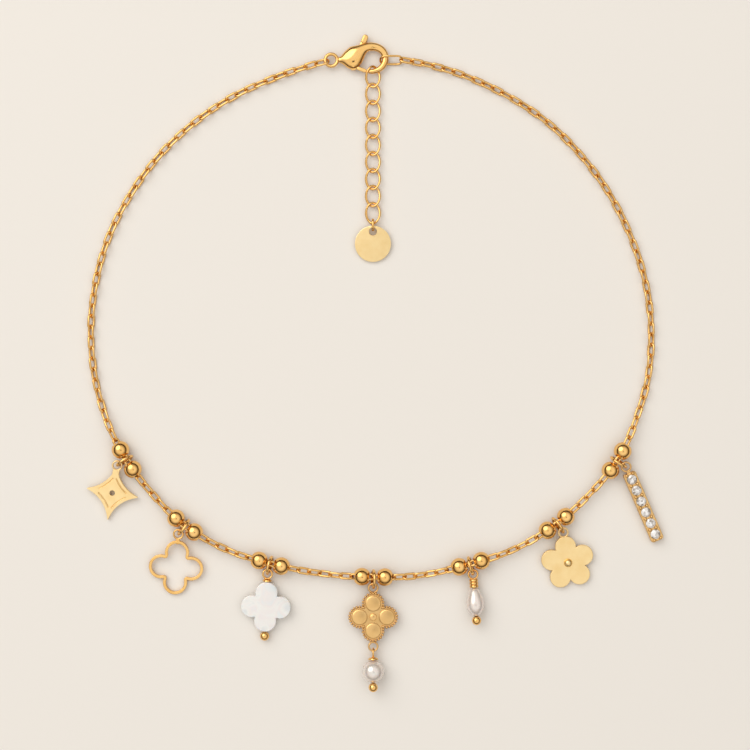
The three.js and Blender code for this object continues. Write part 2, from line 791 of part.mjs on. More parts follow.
// The rosette lies level: its lower loop is held up by the pearl that hangs from it.
function rosetteCharm() {
  const bend = (ROSETTE_LOOP - LOOP_WIRE) / 2;
  const reach = CHARM_TOP + ROSETTE_SPAN / 2;
  const lowLoop = reach + ROSETTE_SPAN / 2 + bend;
  const lowHole = rod(2 * bend, CLASP_DEPTH, RING_SIDES, 0, -lowLoop);
  const lowRing = ring(ROSETTE_LOOP, LOOP_WIRE).translate(0, -lowLoop, 0);
  const body = cut(rosetteBody(reach), [lowHole]).add(solid(lowRing));
  const pearlGroup = buildRosettePearl(bend);
  pearlGroup.position.y = -lowLoop - 2 * bend + LOOP_WIRE + LOOP_WIRE / 3;
  return {
    pieces: [piece('rosette_charm', surface(withLoop(body, CHARM_TOP)), satinGold), pearlGroup],
    tilt: 0,
  };
}

function buildRosettePearl(bend) {
  const pearlAt = bend + PEARL_NECK + seatGap + drilledLength(PEARL_DIAMETER, pinBore) / 2;
  const ballAt = pearlAt + drilledLength(PEARL_DIAMETER, pinBore) / 2 + seatGap + ballSeat;
  const round = drilledBall(PEARL_DIAMETER, pinBore, PEARL_STEPS, RING_SIDES).translate(0, -pearlAt, 0);
  const pin = headPin(ROSETTE_LOOP, 90, capNeck(bend, PEARL_CAP, PEARL_NECK), ballAt);
  const dangle = new THREE.Group();
  dangle.add(piece('rosette_pearl', round, pearl));
  dangle.add(piece('rosette_pearl_pin', surface(pin), gold));
  dangle.rotation.x = restTilt(pearlAt, PEARL_DIAMETER / 2);
  return dangle;
}

function dropPearlCharm() {
  const top = loopRadius + DROP_NECK + seatGap;
  const bore = pinBore / 2;
  const profile = DROP_OUTLINE.map(([along, across]) => [
    (DROP_WIDTH / 2) * across,
    -top - DROP_LENGTH * along,
  ]);
  profile.unshift([bore, -top]);
  profile.push([bore, -top - DROP_LENGTH], [bore, -top]);
  const ballAt = top + DROP_LENGTH + seatGap + ballSeat;
  const [widest] = DROP_OUTLINE.reduce((best, row) => (row[1] > best[1] ? row : best));
  return {
    pieces: [
      piece('drop_pearl', turned(profile.reverse(), RING_SIDES), pearl),
      piece('drop_pearl_pin', surface(headPin(loopDiameter, 0, wrappedNeck(loopRadius), ballAt)), gold),
    ],
    tilt: restTilt(top + DROP_LENGTH * widest, DROP_WIDTH / 2),
  };
}

function blossomCharm() {
  const reach = CHARM_TOP + BLOSSOM_SPAN / 2;
  const petals = plate(lobes(5, BLOSSOM_SPAN, BLOSSOM_NOTCH), BLOSSOM_THICKNESS);
  const boss = ball(BLOSSOM_BOSS, BEAD_SIDES).translate(0, 0, BLOSSOM_THICKNESS / 2);
  const body = join([petals, boss].map((part) => part.translate(0, -reach, 0)));
  return {
    pieces: [piece('blossom_charm', surface(withLoop(body, CHARM_TOP)), satinGold)],
    tilt: restTilt(reach + BLOSSOM_SPAN / 2, BLOSSOM_THICKNESS / 2),
  };
}

function cutStone() {
  const radius = STONE_DIAMETER / 2;
  const girdle = (STONE_CUT.girdle * STONE_DIAMETER) / 2;
  const profile = [
    [0, -girdle - STONE_CUT.pavilion * STONE_DIAMETER],
    [radius, -girdle],
    [radius, girdle],
    [radius * STONE_CUT.table, girdle + STONE_CUT.crown * STONE_DIAMETER],
    [0, girdle + STONE_CUT.crown * STONE_DIAMETER],
  ];
  return turned(profile, BEAD_SIDES).rotateX(Math.PI / 2);
}

function roundedBar(width, length, corner) {
  const x = width / 2 - corner;
  const y = length / 2 - corner;
  const shape = new THREE.Shape();
  shape.absarc(x, y, corner, 0, Math.PI / 2, false);
  shape.absarc(-x, y, corner, Math.PI / 2, Math.PI, false);
  shape.absarc(-x, -y, corner, Math.PI, (3 * Math.PI) / 2, false);
  shape.absarc(x, -y, corner, (3 * Math.PI) / 2, 2 * Math.PI, false);
  return shape;
}

function stoneBarCharm() {
  const reach = BAR_TOP + barLength / 2;
  const top = BAR_THICKNESS / 2;
  const shape = roundedBar(barWidth, barLength, BAR_CORNER);
  const body = solid(plate(shape, BAR_THICKNESS, BAR_EDGE, END_STEPS).translate(0, -reach, 0));
  const seatRadius = STONE_DIAMETER / 2 + STONE_CLEARANCE;
  const seatDepth = STONE_CUT.pavilion * STONE_DIAMETER + 2 * STONE_CLEARANCE;
  const firstStone = -reach + (stonePitch * (BAR_STONES - 1)) / 2;
  const seats = [];
  const prongs = [];
  const stones = [];
  for (let i = 0; i <= BAR_STONES; i += 1) {
    const y = firstStone - stonePitch * i;
    for (const side of [-1, 1]) {
      const x = side * (barWidth / 2 - PRONG_DIAMETER / 2);
      prongs.push(new THREE.OctahedronGeometry(PRONG_DIAMETER / 2).translate(x, y + stonePitch / 2, top));
    }
    if (i < BAR_STONES) {
      const mouth = seatRadius * (1 + (2 * STONE_CLEARANCE) / seatDepth);
      const height = seatDepth + 2 * STONE_CLEARANCE;
      const seat = new THREE.CylinderGeometry(mouth, STONE_CLEARANCE, height, BEAD_SIDES);
      seats.push(seat.rotateX(Math.PI / 2).translate(0, y, top - seatDepth + height / 2));
      const stone = piece(`bar_stone_${i + 1}`, cutStone(), crystal);
      stone.position.set(0, y, top + (STONE_CUT.girdle * STONE_DIAMETER) / 2);
      stones.push(stone);
    }
  }
  const set = cut(prongs.map(solid).reduce((whole, prong) => whole.add(prong), body), seats);
  return {
    pieces: [piece('stone_bar', surface(withLoop(set, BAR_TOP)), gold), ...stones],
    tilt: restTilt(reach + barLength / 2, BAR_THICKNESS / 2),
  };
}

const CHARMS = {
  star: starCharm,
  open_quatrefoil: openQuatrefoilCharm,
  shell_quatrefoil: shellQuatrefoilCharm,
  rosette: rosetteCharm,
  drop_pearl: dropPearlCharm,
  blossom: blossomCharm,
  stone_bar: stoneBarCharm,
};

// A station: two beads on the chain, the ring between them, and the charm on the ring.
function buildStation({ charm, run }, number, plan) {
  const station = new THREE.Group();
  const whole = plan.getLength();
  const up = new THREE.Vector3(0, 0, 1);
  for (const [side, name] of [[-1, 'left'], [1, 'right']]) {
    const at = (run + side * beadOffset) / whole;
    const shape = drilledBall(BEAD_DIAMETER, 2 * boreRadius, BEAD_STEPS, BEAD_SIDES);
    const bead = piece(`bead_${number}_${name}`, shape, gold);
    bead.position.copy(plan.getPointAt(at)).setZ(beadRadius);
    bead.quaternion.setFromUnitVectors(new THREE.Vector3(0, 1, 0), plan.getTangentAt(at));
    station.add(bead);
  }
  const centre = plan.getPointAt(run / whole);
  const along = plan.getTangentAt(run / whole);
  const out = new THREE.Vector3().crossVectors(along, up);
  const jumpRing = piece(`jump_ring_${number}`, ring(2 * ringRadius + RING_WIRE, RING_WIRE), gold);
  jumpRing.position.copy(centre).addScaledVector(out, RING_SHIFT).setZ(ringHeight);
  jumpRing.quaternion.setFromUnitVectors(up, along);
  const { pieces, tilt } = CHARMS[charm]();
  const hung = new THREE.Group().add(...pieces);
  hung.position.copy(centre).addScaledVector(out, loopOut).setZ(loopHeight);
  hung.rotation.set(tilt, 0, degToRad(HANG[charm]), 'ZXY');
  return station.add(jumpRing, hung);
}

// The whole necklace, with the middle of its underside at the origin
function buildNecklace() {
  const route = planRoute();
  const necklace = new THREE.Group();
  necklace.add(buildClasp(), buildExtender(), ...buildChain(route));
  necklace.add(endLink('end_link_left', eyeEnd, EYE_LINK_LENGTH, EYE_LINK_WIDTH));
  necklace.add(endLink('end_link_right', hookEnd, HOOK_LINK_LENGTH, HOOK_LINK_WIDTH));
  route.stations.forEach((station, i) => necklace.add(buildStation(station, i + 1, route.plan)));
  const box = new THREE.Box3().setFromObject(necklace, true);
  const middle = box.getCenter(new THREE.Vector3());
  necklace.position.set(-middle.x, -middle.y, -box.min.z);
  return new THREE.Group().add(necklace);
}

export default buildNecklace();
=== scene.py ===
# %% [markdown]
# # A charm necklace, dressed for its picture
#
# The necklace lies flat on a pale table and is seen from straight above. The solids come
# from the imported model. Each one is replaced here by a finer piece in the same place, so
# that curved metal has the many small faces that a clean reflection needs.
#
# Pieces are modelled in millimetres near the origin, as on a bench, and `seat` then puts
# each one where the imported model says, in metres.

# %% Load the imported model
import json
import math

import bmesh
import bpy
from mathutils import Matrix, Vector


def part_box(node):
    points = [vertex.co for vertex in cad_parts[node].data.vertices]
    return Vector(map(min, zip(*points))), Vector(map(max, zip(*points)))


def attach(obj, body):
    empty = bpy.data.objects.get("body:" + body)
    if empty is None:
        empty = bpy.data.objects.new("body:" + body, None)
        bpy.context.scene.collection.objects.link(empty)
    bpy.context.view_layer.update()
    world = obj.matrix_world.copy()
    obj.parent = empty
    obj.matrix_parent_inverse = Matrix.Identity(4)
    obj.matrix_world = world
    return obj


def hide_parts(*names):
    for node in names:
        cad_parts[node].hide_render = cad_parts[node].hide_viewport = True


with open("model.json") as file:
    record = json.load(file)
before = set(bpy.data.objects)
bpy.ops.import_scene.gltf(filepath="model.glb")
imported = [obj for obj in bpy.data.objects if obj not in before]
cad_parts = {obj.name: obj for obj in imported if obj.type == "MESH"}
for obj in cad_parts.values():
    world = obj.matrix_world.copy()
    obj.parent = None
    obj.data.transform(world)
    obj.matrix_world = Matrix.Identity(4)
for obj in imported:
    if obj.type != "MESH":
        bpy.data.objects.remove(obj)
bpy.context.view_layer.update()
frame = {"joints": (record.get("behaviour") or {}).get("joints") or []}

MM = 0.001

# %% [markdown]
# ## Camera, light and table
#
# The photograph is taken from straight above with a long lens, so that nothing at the
# edge of the picture leans outwards. Polished gold shows what stands around it more than
# its own colour. A broad soft light overhead gives the bright patch on each bead, the pale
# table gives the light rim, and the dim space between the two gives the dark band that
# makes round metal look round.

# %% Camera
LENS, SENSOR = 100, 36
VIEW_WIDTH = 0.1766
VIEW_CENTRE = (-0.00013, -0.00275)

lens_data = bpy.data.cameras.new("view_from_above")
lens_data.lens, lens_data.sensor_width = LENS, SENSOR
camera = bpy.data.objects.new("view_from_above", lens_data)
camera.location = (*VIEW_CENTRE, VIEW_WIDTH * LENS / SENSOR)
bpy.context.collection.objects.link(camera)
bpy.context.scene.camera = camera
print("camera height", round(camera.location.z, 4))

# %% Table
def mode(name):
    bpy.ops.object.mode_set(mode=name)


def only(thing):
    if bpy.context.object and bpy.context.object.mode != "OBJECT":
        mode("OBJECT")
    bpy.ops.object.select_all(action="DESELECT")
    thing.select_set(True)
    bpy.context.view_layer.objects.active = thing


def fill(node, values):
    for name, value in values.items():
        node.inputs[name].default_value = value


def plain_material(name, colour, roughness):
    material = bpy.data.materials.new(name)
    material.use_nodes = True
    shader = material.node_tree.nodes["Principled BSDF"]
    fill(shader, {"Base Color": (*colour, 1), "Roughness": roughness})
    return material, shader


bpy.ops.mesh.primitive_plane_add(size=3)
table = bpy.context.object
table.name = "table"
table_paper, _ = plain_material("pale_paper", (0.82, 0.785, 0.735), 0.9)
table.data.materials.append(table_paper)
print("table", table.name)

# %% Softbox
def soft_light(name, place, size, power, colour=(1, 1, 1)):
    data = bpy.data.lights.new(name, "AREA")
    data.shape, data.size, data.energy, data.color = "DISK", size, power, colour
    light = bpy.data.objects.new(name, data)
    light.location = place
    aim = Vector(place) - Vector((0, 0, 0))
    light.rotation_euler = aim.to_track_quat("Z", "Y").to_euler()
    bpy.context.collection.objects.link(light)
    return light


softbox = soft_light("softbox", (-0.63, 0.63, 0.93), 1.29, 7.1, (1, 0.97, 0.93))
print("softbox", softbox.data.energy, "W")

# %% [markdown]
# The room round the table is a gradient: nearly black at the table's edge, dim at eye
# height and bright towards the ceiling. The Standard view keeps the gold's own colour,
# where a film-like view would wash it out.

# %% Room
# Columns: height above the table, from 0 to 1, and colour. The first two set the ends.
SKY_STOPS = [
    (0.18, (0.02, 0.01, 0.004)), (0.75, (0.93, 0.92, 0.9)), (0.38, (0.3, 0.25, 0.2)),
]
ROOM_STRENGTH = 1.15


def set_stops(colour_ramp, stops):
    for i, (place, colour) in enumerate(stops):
        stop = colour_ramp.elements[i] if i < 2 else colour_ramp.elements.new(place)
        stop.position, stop.color = place, (*colour, 1)


room = bpy.data.worlds.new("room")
room.use_nodes = True
nodes, wires = room.node_tree.nodes, room.node_tree.links
way_out = nodes.new("ShaderNodeTexCoord")
height = nodes.new("ShaderNodeSeparateXYZ")
sky = nodes.new("ShaderNodeValToRGB")
wires.new(way_out.outputs["Generated"], height.inputs["Vector"])
wires.new(height.outputs["Z"], sky.inputs["Fac"])
wires.new(sky.outputs["Color"], nodes["Background"].inputs["Color"])
set_stops(sky.color_ramp, SKY_STOPS)
nodes["Background"].inputs["Strength"].default_value = ROOM_STRENGTH
bpy.context.scene.world = room
bpy.context.scene.view_settings.view_transform = "Standard"
print("room strength", ROOM_STRENGTH)

# %% [markdown]
# A real camera shows as a small dark spot in every bead. A black felt disc gives that
# spot. It hangs above the camera, so it never stands in the picture itself.

# %% Dark disc above the camera
LENS_HOOD, LENS_HEIGHT, LENS_OFF = 0.06, 0.56, (0.05, -0.07)
bpy.ops.mesh.primitive_circle_add(
    vertices=48, radius=LENS_HOOD, fill_type="NGON", location=(*LENS_OFF, LENS_HEIGHT)
)
hood = bpy.context.object
hood.name = "lens_hood"
black, _ = plain_material("black_felt", (0.02, 0.012, 0.006), 1)
hood.data.materials.append(black)
print("dark disc", LENS_HEIGHT, "m up")

# %% [markdown]
# ## Materials
#
# Gold plate is a metal, so its colour sits in the reflection. Real plate is never quite
# even: fine wear changes its gloss a little from place to place. That is a roughness
# driven by noise in object space. Satin gold is the same metal with a fine matte grain.
# The helpers below add a node, join two nodes and make the noise.

# %% Node helpers
def node_of(material, kind, **values):
    node = material.node_tree.nodes.new(kind)
    fill(node, values)
    return node


def link(material, output, target):
    material.node_tree.links.new(output, target)


def noise(material, scale, detail=3, stretch=(1, 1, 1)):
    place = material.node_tree.nodes.new("ShaderNodeTexCoord")
    spread = node_of(material, "ShaderNodeMapping", Scale=stretch)
    grain = node_of(material, "ShaderNodeTexNoise", Scale=scale, Detail=detail)
    link(material, place.outputs["Object"], spread.inputs["Vector"])
    link(material, spread.outputs["Vector"], grain.inputs["Vector"])
    return grain.outputs["Fac"]


def ramp(material, factor, stops):
    node = material.node_tree.nodes.new("ShaderNodeValToRGB")
    set_stops(node.color_ramp, stops)
    link(material, factor, node.inputs["Fac"])
    return node.outputs["Color"]


def spread_of(material, factor, low, high):
    node = node_of(material, "ShaderNodeMapRange", **{"To Min": low, "To Max": high})
    link(material, factor, node.inputs["Value"])
    return node.outputs["Result"]


def bump(material, shader, height, strength, distance):
    node = node_of(material, "ShaderNodeBump", Strength=strength, Distance=distance)
    link(material, height, node.inputs["Height"])
    link(material, node.outputs["Normal"], shader.inputs["Normal"])


# %% Gold
def metal(name, light, deep, gloss, grain_scale, grain_depth):
    material, shader = plain_material(name, light, 0.2)
    fill(shader, {"Metallic": 1})
    tone = ramp(material, noise(material, 420), [(0.3, deep), (0.7, light)])
    link(material, tone, shader.inputs["Base Color"])
    link(material, spread_of(material, noise(material, 900), *gloss), shader.inputs["Roughness"])
    bump(material, shader, noise(material, grain_scale, 6), 0.5, grain_depth)
    return material


POLISHED = metal(
    "polished_gold", (0.92, 0.58, 0.22), (0.83, 0.48, 0.15), (0.1, 0.18), 2500, 2e-6
)
SATIN = metal("satin_gold", (0.95, 0.72, 0.37), (0.9, 0.65, 0.3), (0.3, 0.42), 6000, 1e-5)
GRAINED = metal(
    "grained_gold", (0.82, 0.53, 0.225), (0.72, 0.44, 0.165), (0.24, 0.34), 6000, 1e-5
)
print("metals", POLISHED.name, SATIN.name, GRAINED.name)

# %% [markdown]
# Mother of pearl and pearl are layers of thin clear plates. Light that comes back from
# different depths turns faintly pink and green, in soft clouds. Distorted noise gives such
# clouds, in colours that hardly differ, under a clear coat for the polish.

# %% Shell and pearl
def nacre(name, bands, size, roughness, lustre):
    material, shader = plain_material(name, bands[0], roughness)
    cloud = node_of(material, "ShaderNodeTexNoise", Scale=size, Detail=1.5, Distortion=1.2)
    place = material.node_tree.nodes.new("ShaderNodeTexCoord")
    link(material, place.outputs["Object"], cloud.inputs["Vector"])
    stops = [(0.3 + 0.4 * i / (len(bands) - 1), band) for i, band in enumerate(bands)]
    tone = ramp(material, cloud.outputs["Fac"], stops[:1] + stops[-1:] + stops[1:-1])
    link(material, tone, shader.inputs["Base Color"])
    fill(shader, {
        "Subsurface Weight": 0.25, "Subsurface Radius": (0.001, 0.0008, 0.0006),
        "Metallic": lustre, "Coat Weight": 0.5, "Coat Roughness": 0.08,
    })
    bump(material, shader, noise(material, 1200), 0.3, 3e-6)
    return material


SHELL = nacre(
    "mother_of_pearl",
    [(0.68, 0.71, 0.72), (0.85, 0.84, 0.81), (0.84, 0.79, 0.77), (0.78, 0.81, 0.81)],
    230, 0.2, 0.15,
)
PEARL = nacre(
    "pearl",
    [(0.76, 0.68, 0.62), (0.82, 0.75, 0.69), (0.8, 0.71, 0.66), (0.77, 0.74, 0.69)],
    200, 0.2, 0.35,
)
print("nacre", SHELL.name, PEARL.name)

# %% [markdown]
# The small stones are cut crystal. Seen from above, the deep facets of such a stone send
# back either the bright lamp or the dark room, so it shows a mosaic of light and dark that
# no single facet explains. Cells of noise a few tenths of a millimetre wide paint that
# mosaic into the base colour as painted reflections, dark and near white, under a hard
# polish with crystal's high refractive index.

# %% Crystal
CRYSTAL, crystal_shader = plain_material("crystal", (1, 0.99, 0.98), 0.02)
painted_reflection_cells = node_of(CRYSTAL, "ShaderNodeTexVoronoi", Scale=2100)
crystal_place = CRYSTAL.node_tree.nodes.new("ShaderNodeTexCoord")
link(CRYSTAL, crystal_place.outputs["Object"], painted_reflection_cells.inputs["Vector"])
# Painted reflections: the cells turn the base colour dark or white, for the lamp and the room seen
# in the facets.
painted_reflection_tone = ramp(
    CRYSTAL, painted_reflection_cells.outputs["Color"], [(0.25, (0.34, 0.29, 0.24)), (0.55, (1, 0.98, 0.96))]
)
link(CRYSTAL, painted_reflection_tone, crystal_shader.inputs["Base Color"])
fill(crystal_shader, {"Transmission Weight": 0.12, "IOR": 2.3})
print("stones", CRYSTAL.name)

# %% [markdown]
# ## Bench tools
#
# Most parts of a chain are turned, bent from wire or sawn from sheet, and the helpers do
# the same. The first ones start and finish a piece: they draw the first point, close the
# shape, apply a modifier, join parts, and move or copy them.

# %% Start and finish of a piece
def select_every_point():
    bpy.ops.mesh.select_all(action="SELECT")


def start(name):
    """A single point at the origin, in edit mode, ready to be extruded."""
    bpy.ops.mesh.primitive_plane_add(size=1)
    thing = bpy.context.object
    thing.name = name
    mode("EDIT")
    select_every_point()
    bpy.ops.mesh.merge(type="CENTER")
    return thing


def closed(thing, gap=1e-4):
    """Welds what meets, turns all normals outwards and leaves edit mode."""
    select_every_point()
    bpy.ops.mesh.remove_doubles(threshold=gap)
    bpy.ops.mesh.normals_make_consistent(inside=False)
    mode("OBJECT")
    return thing


def modified(thing, kind, **settings):
    only(thing)
    modifier = thing.modifiers.new(kind, kind)
    for name, value in settings.items():
        setattr(modifier, name, value)
    bpy.ops.object.modifier_apply(modifier=modifier.name)
    return thing


def eased(thing, width, segments=3, angle=35):
    """Rounds the sharp edges, as polishing does."""
    return modified(
        thing, "BEVEL", width=width, segments=segments, limit_method="ANGLE",
        angle_limit=math.radians(angle),
    )


def cut_by(thing, tool):
    modified(thing, "BOOLEAN", operation="DIFFERENCE", solver="EXACT", object=tool)
    put_away(tool)
    return thing


def joined(first, *others):
    bpy.context.view_layer.update()
    only(first)
    for other in others:
        other.select_set(True)
    bpy.ops.object.join()
    return first


def spun(degrees, axis):
    return Matrix.Rotation(math.radians(degrees), 4, axis)


def moved(thing, place=(0, 0, 0), turn=0, axis="Z"):
    bpy.context.view_layer.update()
    thing.matrix_world = Matrix.Translation(place) @ spun(turn, axis) @ thing.matrix_world
    only(thing)
    bpy.ops.object.transform_apply(location=True, rotation=True, scale=True)
    return thing


def copied(thing, name):
    twin = thing.copy()
    twin.data = thing.data.copy()
    twin.name = name
    bpy.context.collection.objects.link(twin)
    return twin


def put_away(*things):
    for thing in things:
        bpy.data.objects.remove(thing, do_unlink=True)


# %% [markdown]
# `turned` draws half an outline and spins it round the Z axis, as on a lathe. `outline`
# steps a point along arcs and lines, as a piercing saw would, and pulls the face up.

# %% Turning and sawing
def turned(name, profile, sides=40, sweep=360):
    """Columns of the profile: radius, height."""
    thing = start(name)
    radius, height = profile[0]
    bpy.ops.transform.translate(value=(radius, 0, height))
    for (r0, z0), (r1, z1) in zip(profile, profile[1:]):
        step = {"value": (r1 - r0, 0, z1 - z0)}
        bpy.ops.mesh.extrude_region_move(TRANSFORM_OT_translate=step)
    select_every_point()
    bpy.ops.mesh.spin(steps=sides, angle=math.radians(sweep), center=(0, 0, 0), axis=(0, 0, 1))
    return closed(thing)


def outline(name, first, moves, height):
    """A flat plate between z = -height / 2 and height / 2. A move is an arc, (centre x,
    centre y, degrees, steps), or a line, (x, y)."""
    thing = start(name)
    bpy.ops.transform.translate(value=(*first, -height / 2))
    at = Vector(first)
    for move in moves:
        if len(move) == 2:
            step = {"value": (move[0] - at.x, move[1] - at.y, 0)}
            bpy.ops.mesh.extrude_region_move(TRANSFORM_OT_translate=step)
            at = Vector(move)
            continue
        x, y, degrees, steps = move
        centre = Vector((x, y))
        # The spin operator turns clockwise for a positive angle.
        bpy.ops.mesh.spin(
            steps=steps, angle=-math.radians(degrees), center=(x, y, -height / 2), axis=(0, 0, 1)
        )
        at = centre + Matrix.Rotation(math.radians(degrees), 2) @ (at - centre)
    select_every_point()
    bpy.ops.mesh.remove_doubles(threshold=1e-3)
    bpy.ops.mesh.edge_face_add()
    bpy.ops.mesh.extrude_region_move(TRANSFORM_OT_translate={"value": (0, 0, height)})
    return closed(thing)


# %% [markdown]
# A wire ring is a torus, and a link is a ring whose halves are pulled apart in edit mode,
# so that its sides come out straight and its wire keeps its thickness.

# %% Rings and ovals
def ring_of(name, diameter, wire, sides=12, steps=40):
    bpy.ops.mesh.primitive_torus_add(
        major_radius=(diameter - wire) / 2, minor_radius=wire / 2,
        major_segments=steps, minor_segments=sides,
    )
    thing = bpy.context.object
    thing.name = name
    return thing


def pick(thing, test):
    """Selects in edit mode the points that pass a test of their place."""
    bpy.ops.mesh.select_all(action="DESELECT")
    mesh = bmesh.from_edit_mesh(thing.data)
    for point in mesh.verts:
        point.select = bool(test(point.co))
    mesh.select_flush(True)
    bmesh.update_edit_mesh(thing.data)


def oval(name, length, width, wire, sides=10, steps=28):
    """A ring that is pulled long, its long way along Y."""
    thing = ring_of(name, width, wire, sides, steps)
    moved(thing, turn=180 / steps)
    mode("EDIT")
    for side in (1, -1):
        pick(thing, lambda place: place.y * side > 0)
        bpy.ops.transform.translate(value=(0, side * (length - width) / 2, 0))
    mode("OBJECT")
    return thing


# %% [markdown]
# `swept` draws a bar out of a circle, one extrusion for each row, and turns and resizes
# the free end each time. `ball` is turned from a half circle.

# %% Bent bars and balls
def swept(name, rows, sides=16):
    """A bent bar. Columns of a row: x, y, half width, half depth, heading in degrees."""
    bpy.ops.mesh.primitive_circle_add(vertices=sides, radius=1, rotation=(0, math.pi / 2, 0))
    thing = bpy.context.object
    thing.name = name
    bpy.ops.object.transform_apply(location=False, rotation=True, scale=False)
    mode("EDIT")
    select_every_point()
    spot, half, deep, heading = Vector((0, 0, 0)), 1, 1, 0
    for i, (x, y, width, depth, turn) in enumerate(rows):
        if i:
            bpy.ops.mesh.extrude_region_move()
        back = {"orient_axis": "Z", "center_override": spot}
        bpy.ops.transform.rotate(value=math.radians(heading), **back)
        bpy.ops.transform.resize(value=(1, width / half, depth / deep), center_override=spot)
        bpy.ops.transform.rotate(value=-math.radians(turn), **back)
        bpy.ops.transform.translate(value=(x - spot.x, y - spot.y, 0))
        spot, half, deep, heading = Vector((x, y, 0)), width, depth, turn
    for x, y, *_ in (rows[0], rows[-1]):
        end = Vector((x, y, 0))
        reach = max(rows[0][2], rows[0][3]) if (x, y) == tuple(rows[0][:2]) else max(rows[-1][2:4])
        pick(thing, lambda place: (place - end).length < reach * 1.05)
        bpy.ops.mesh.edge_face_add()
    return closed(thing)


def ball(name, diameter, place=(0, 0, 0), sides=32):
    steps = sides // 2
    profile = []
    for i in range(steps + 1):
        angle = math.pi * (i / steps - 0.5)
        profile.append((diameter / 2 * math.cos(angle), diameter / 2 * math.sin(angle)))
    return moved(turned(name, profile, sides), place)


# %% [markdown]
# ## Seating
#
# `seat` scales a piece from millimetres to metres, puts it in its place, smooths it, gives
# it its metal, hides the imported solid it stands for and hangs it on the body it moves with.

# %% Seating a piece in the imported model
PIECES = {}


def seat(thing, matrix, material, node, body="necklace", angle=40, flat=False):
    """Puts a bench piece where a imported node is, and lets it stand for that node."""
    thing.matrix_world = matrix @ Matrix.Scale(MM, 4)
    only(thing)
    bpy.ops.object.transform_apply(location=True, rotation=True, scale=True)
    bpy.ops.object.shade_smooth_by_angle(angle=math.radians(angle))
    if flat:
        modified(thing, "WEIGHTED_NORMAL", keep_sharp=True)
    thing.data.materials.clear()
    thing.data.materials.append(material)
    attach(thing, body)
    if node:
        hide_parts(*([node] if isinstance(node, str) else node))
    PIECES[thing.name] = thing
    return thing


def middle(node):
    low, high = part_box(node)
    return (Vector(low) + Vector(high)) / 2


def frame_at(place, along, up=(0, 0, 1)):
    """Matrix whose Y axis runs along and whose Z axis is as near to up as it can be."""
    y = Vector(along).normalized()
    x = y.cross(Vector(up)).normalized()
    return Matrix.Translation(place) @ Matrix((x, y, x.cross(y))).transposed().to_4x4()


# %% [markdown]
# ## Stations: beads and jump rings
#
# Seven times along the chain, two drilled balls sit left and right of a jump ring that
# carries a charm. A ball is turned from an outline with its bore already in it and a
# small lip, because a plain sphere would show no hole for the chain. The rings lean a few
# degrees to one side or the other, as loose rings do.

# %% Beads and jump rings
STATIONS = 7
BEAD, BORE, LIP = 4.2, 2.2, 0.12
RING_WIRE, RING, RING_LEAN = 0.66, 4.66, 8


def bored(diameter, bore, lip, steps=18):
    """Profile of a ball with a bore along Z and a small rounded lip at each mouth."""
    reach = math.acos(bore / diameter)
    rows = []
    for i in range(steps + 1):
        angle = reach * (2 * i / steps - 1)
        rows.append((diameter / 2 * math.cos(angle), diameter / 2 * math.sin(angle)))
    end = rows[-1][1]
    rows[0], rows[-1] = (bore / 2 + lip, -end + lip / 2), (bore / 2 + lip, end - lip / 2)
    return [*rows, (bore / 2, end - lip), (bore / 2, -end + lip), rows[0]]


first_bead = turned("bead", bored(BEAD, BORE, LIP), 44)
first_ring = ring_of("jump_ring", RING, RING_WIRE, 14, 44)
ALONG = {}
for number in range(1, STATIONS + 1):
    left, right = middle(f"bead_{number}_left"), middle(f"bead_{number}_right")
    along = (right - left).normalized()
    ALONG[number] = along
    spin = spun(-90, "X")
    for side, place in (("left", left), ("right", right)):
        bead = copied(first_bead, f"bead_ball_{number}_{side}")
        seat(bead, frame_at(place, along) @ spin, POLISHED, f"bead_{number}_{side}")
    ring = copied(first_ring, f"jump_wire_{number}")
    place = middle(f"jump_ring_{number}")
    lean = spun(RING_LEAN if number % 2 else -RING_LEAN, "X")
    seat(ring, frame_at(place, along) @ lean @ spin, POLISHED, f"jump_ring_{number}")
put_away(first_bead, first_ring)
print("stations", STATIONS)

# %% [markdown]
# ## The chain
#
# A cable chain is a row of small oval links, each turned a quarter round from the last.
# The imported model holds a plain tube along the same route. Here every link is real: one
# is modelled, and a copy is set down at each pitch with its long way along the route. A
# link is as long as the pitch and two wires, so that it passes through its neighbours
# and touches them only at the bend.
#
# The route is a smooth curve through points read off the table. Its curve is the kind
# whose steps follow the square root of each distance, which never loops between points.

# %% Route of the chain
# Columns: x and y in millimetres. Rows with an entry in STATION_ROWS carry a charm.
ROUTE = [
    (-14.76, 69.91), (-22.7, 67.3), (-32.9, 62.8), (-42.2, 56.7), (-50.4, 49.1),
    (-57.2, 40.1), (-62.5, 30.0), (-65.7, 19.1), (-66.9, 7.7), (-65.9, -3.8),
    (-63.1, -13.5), (-58.4, -22.8), (-51.5, -31.8), (-44.7, -38.2), (-35.2, -43.8),
    (-24.7, -47.1), (-12.8, -49.5), (-0.5, -50.3), (10.7, -49.9), (22.2, -47.2),
    (32.6, -43.8), (42.5, -37.8), (50.0, -31.1), (56.6, -23.1), (61.1, -13.5),
    (64.0, -3.8), (64.8, 7.7), (63.4, 19.0), (59.9, 29.8), (54.8, 39.9),
    (48.1, 48.9), (40.1, 56.7), (30.8, 62.8), (20.7, 67.5), (13.5, 69.7), (6.86, 71.0),
]
STATION_ROWS = (11, 13, 15, 17, 19, 21, 23)
PIVOT_FROM_EYE = Vector((5.206, -1.52, 0))
EYE_ON_PLAN = Vector((-10.3955, 71, 1.3))
PER_SPAN = 24

hinge = frame["joints"][0]
EYE = Vector(hinge["pos_m"]) / MM - PIVOT_FROM_EYE
SHIFT = EYE - EYE_ON_PLAN


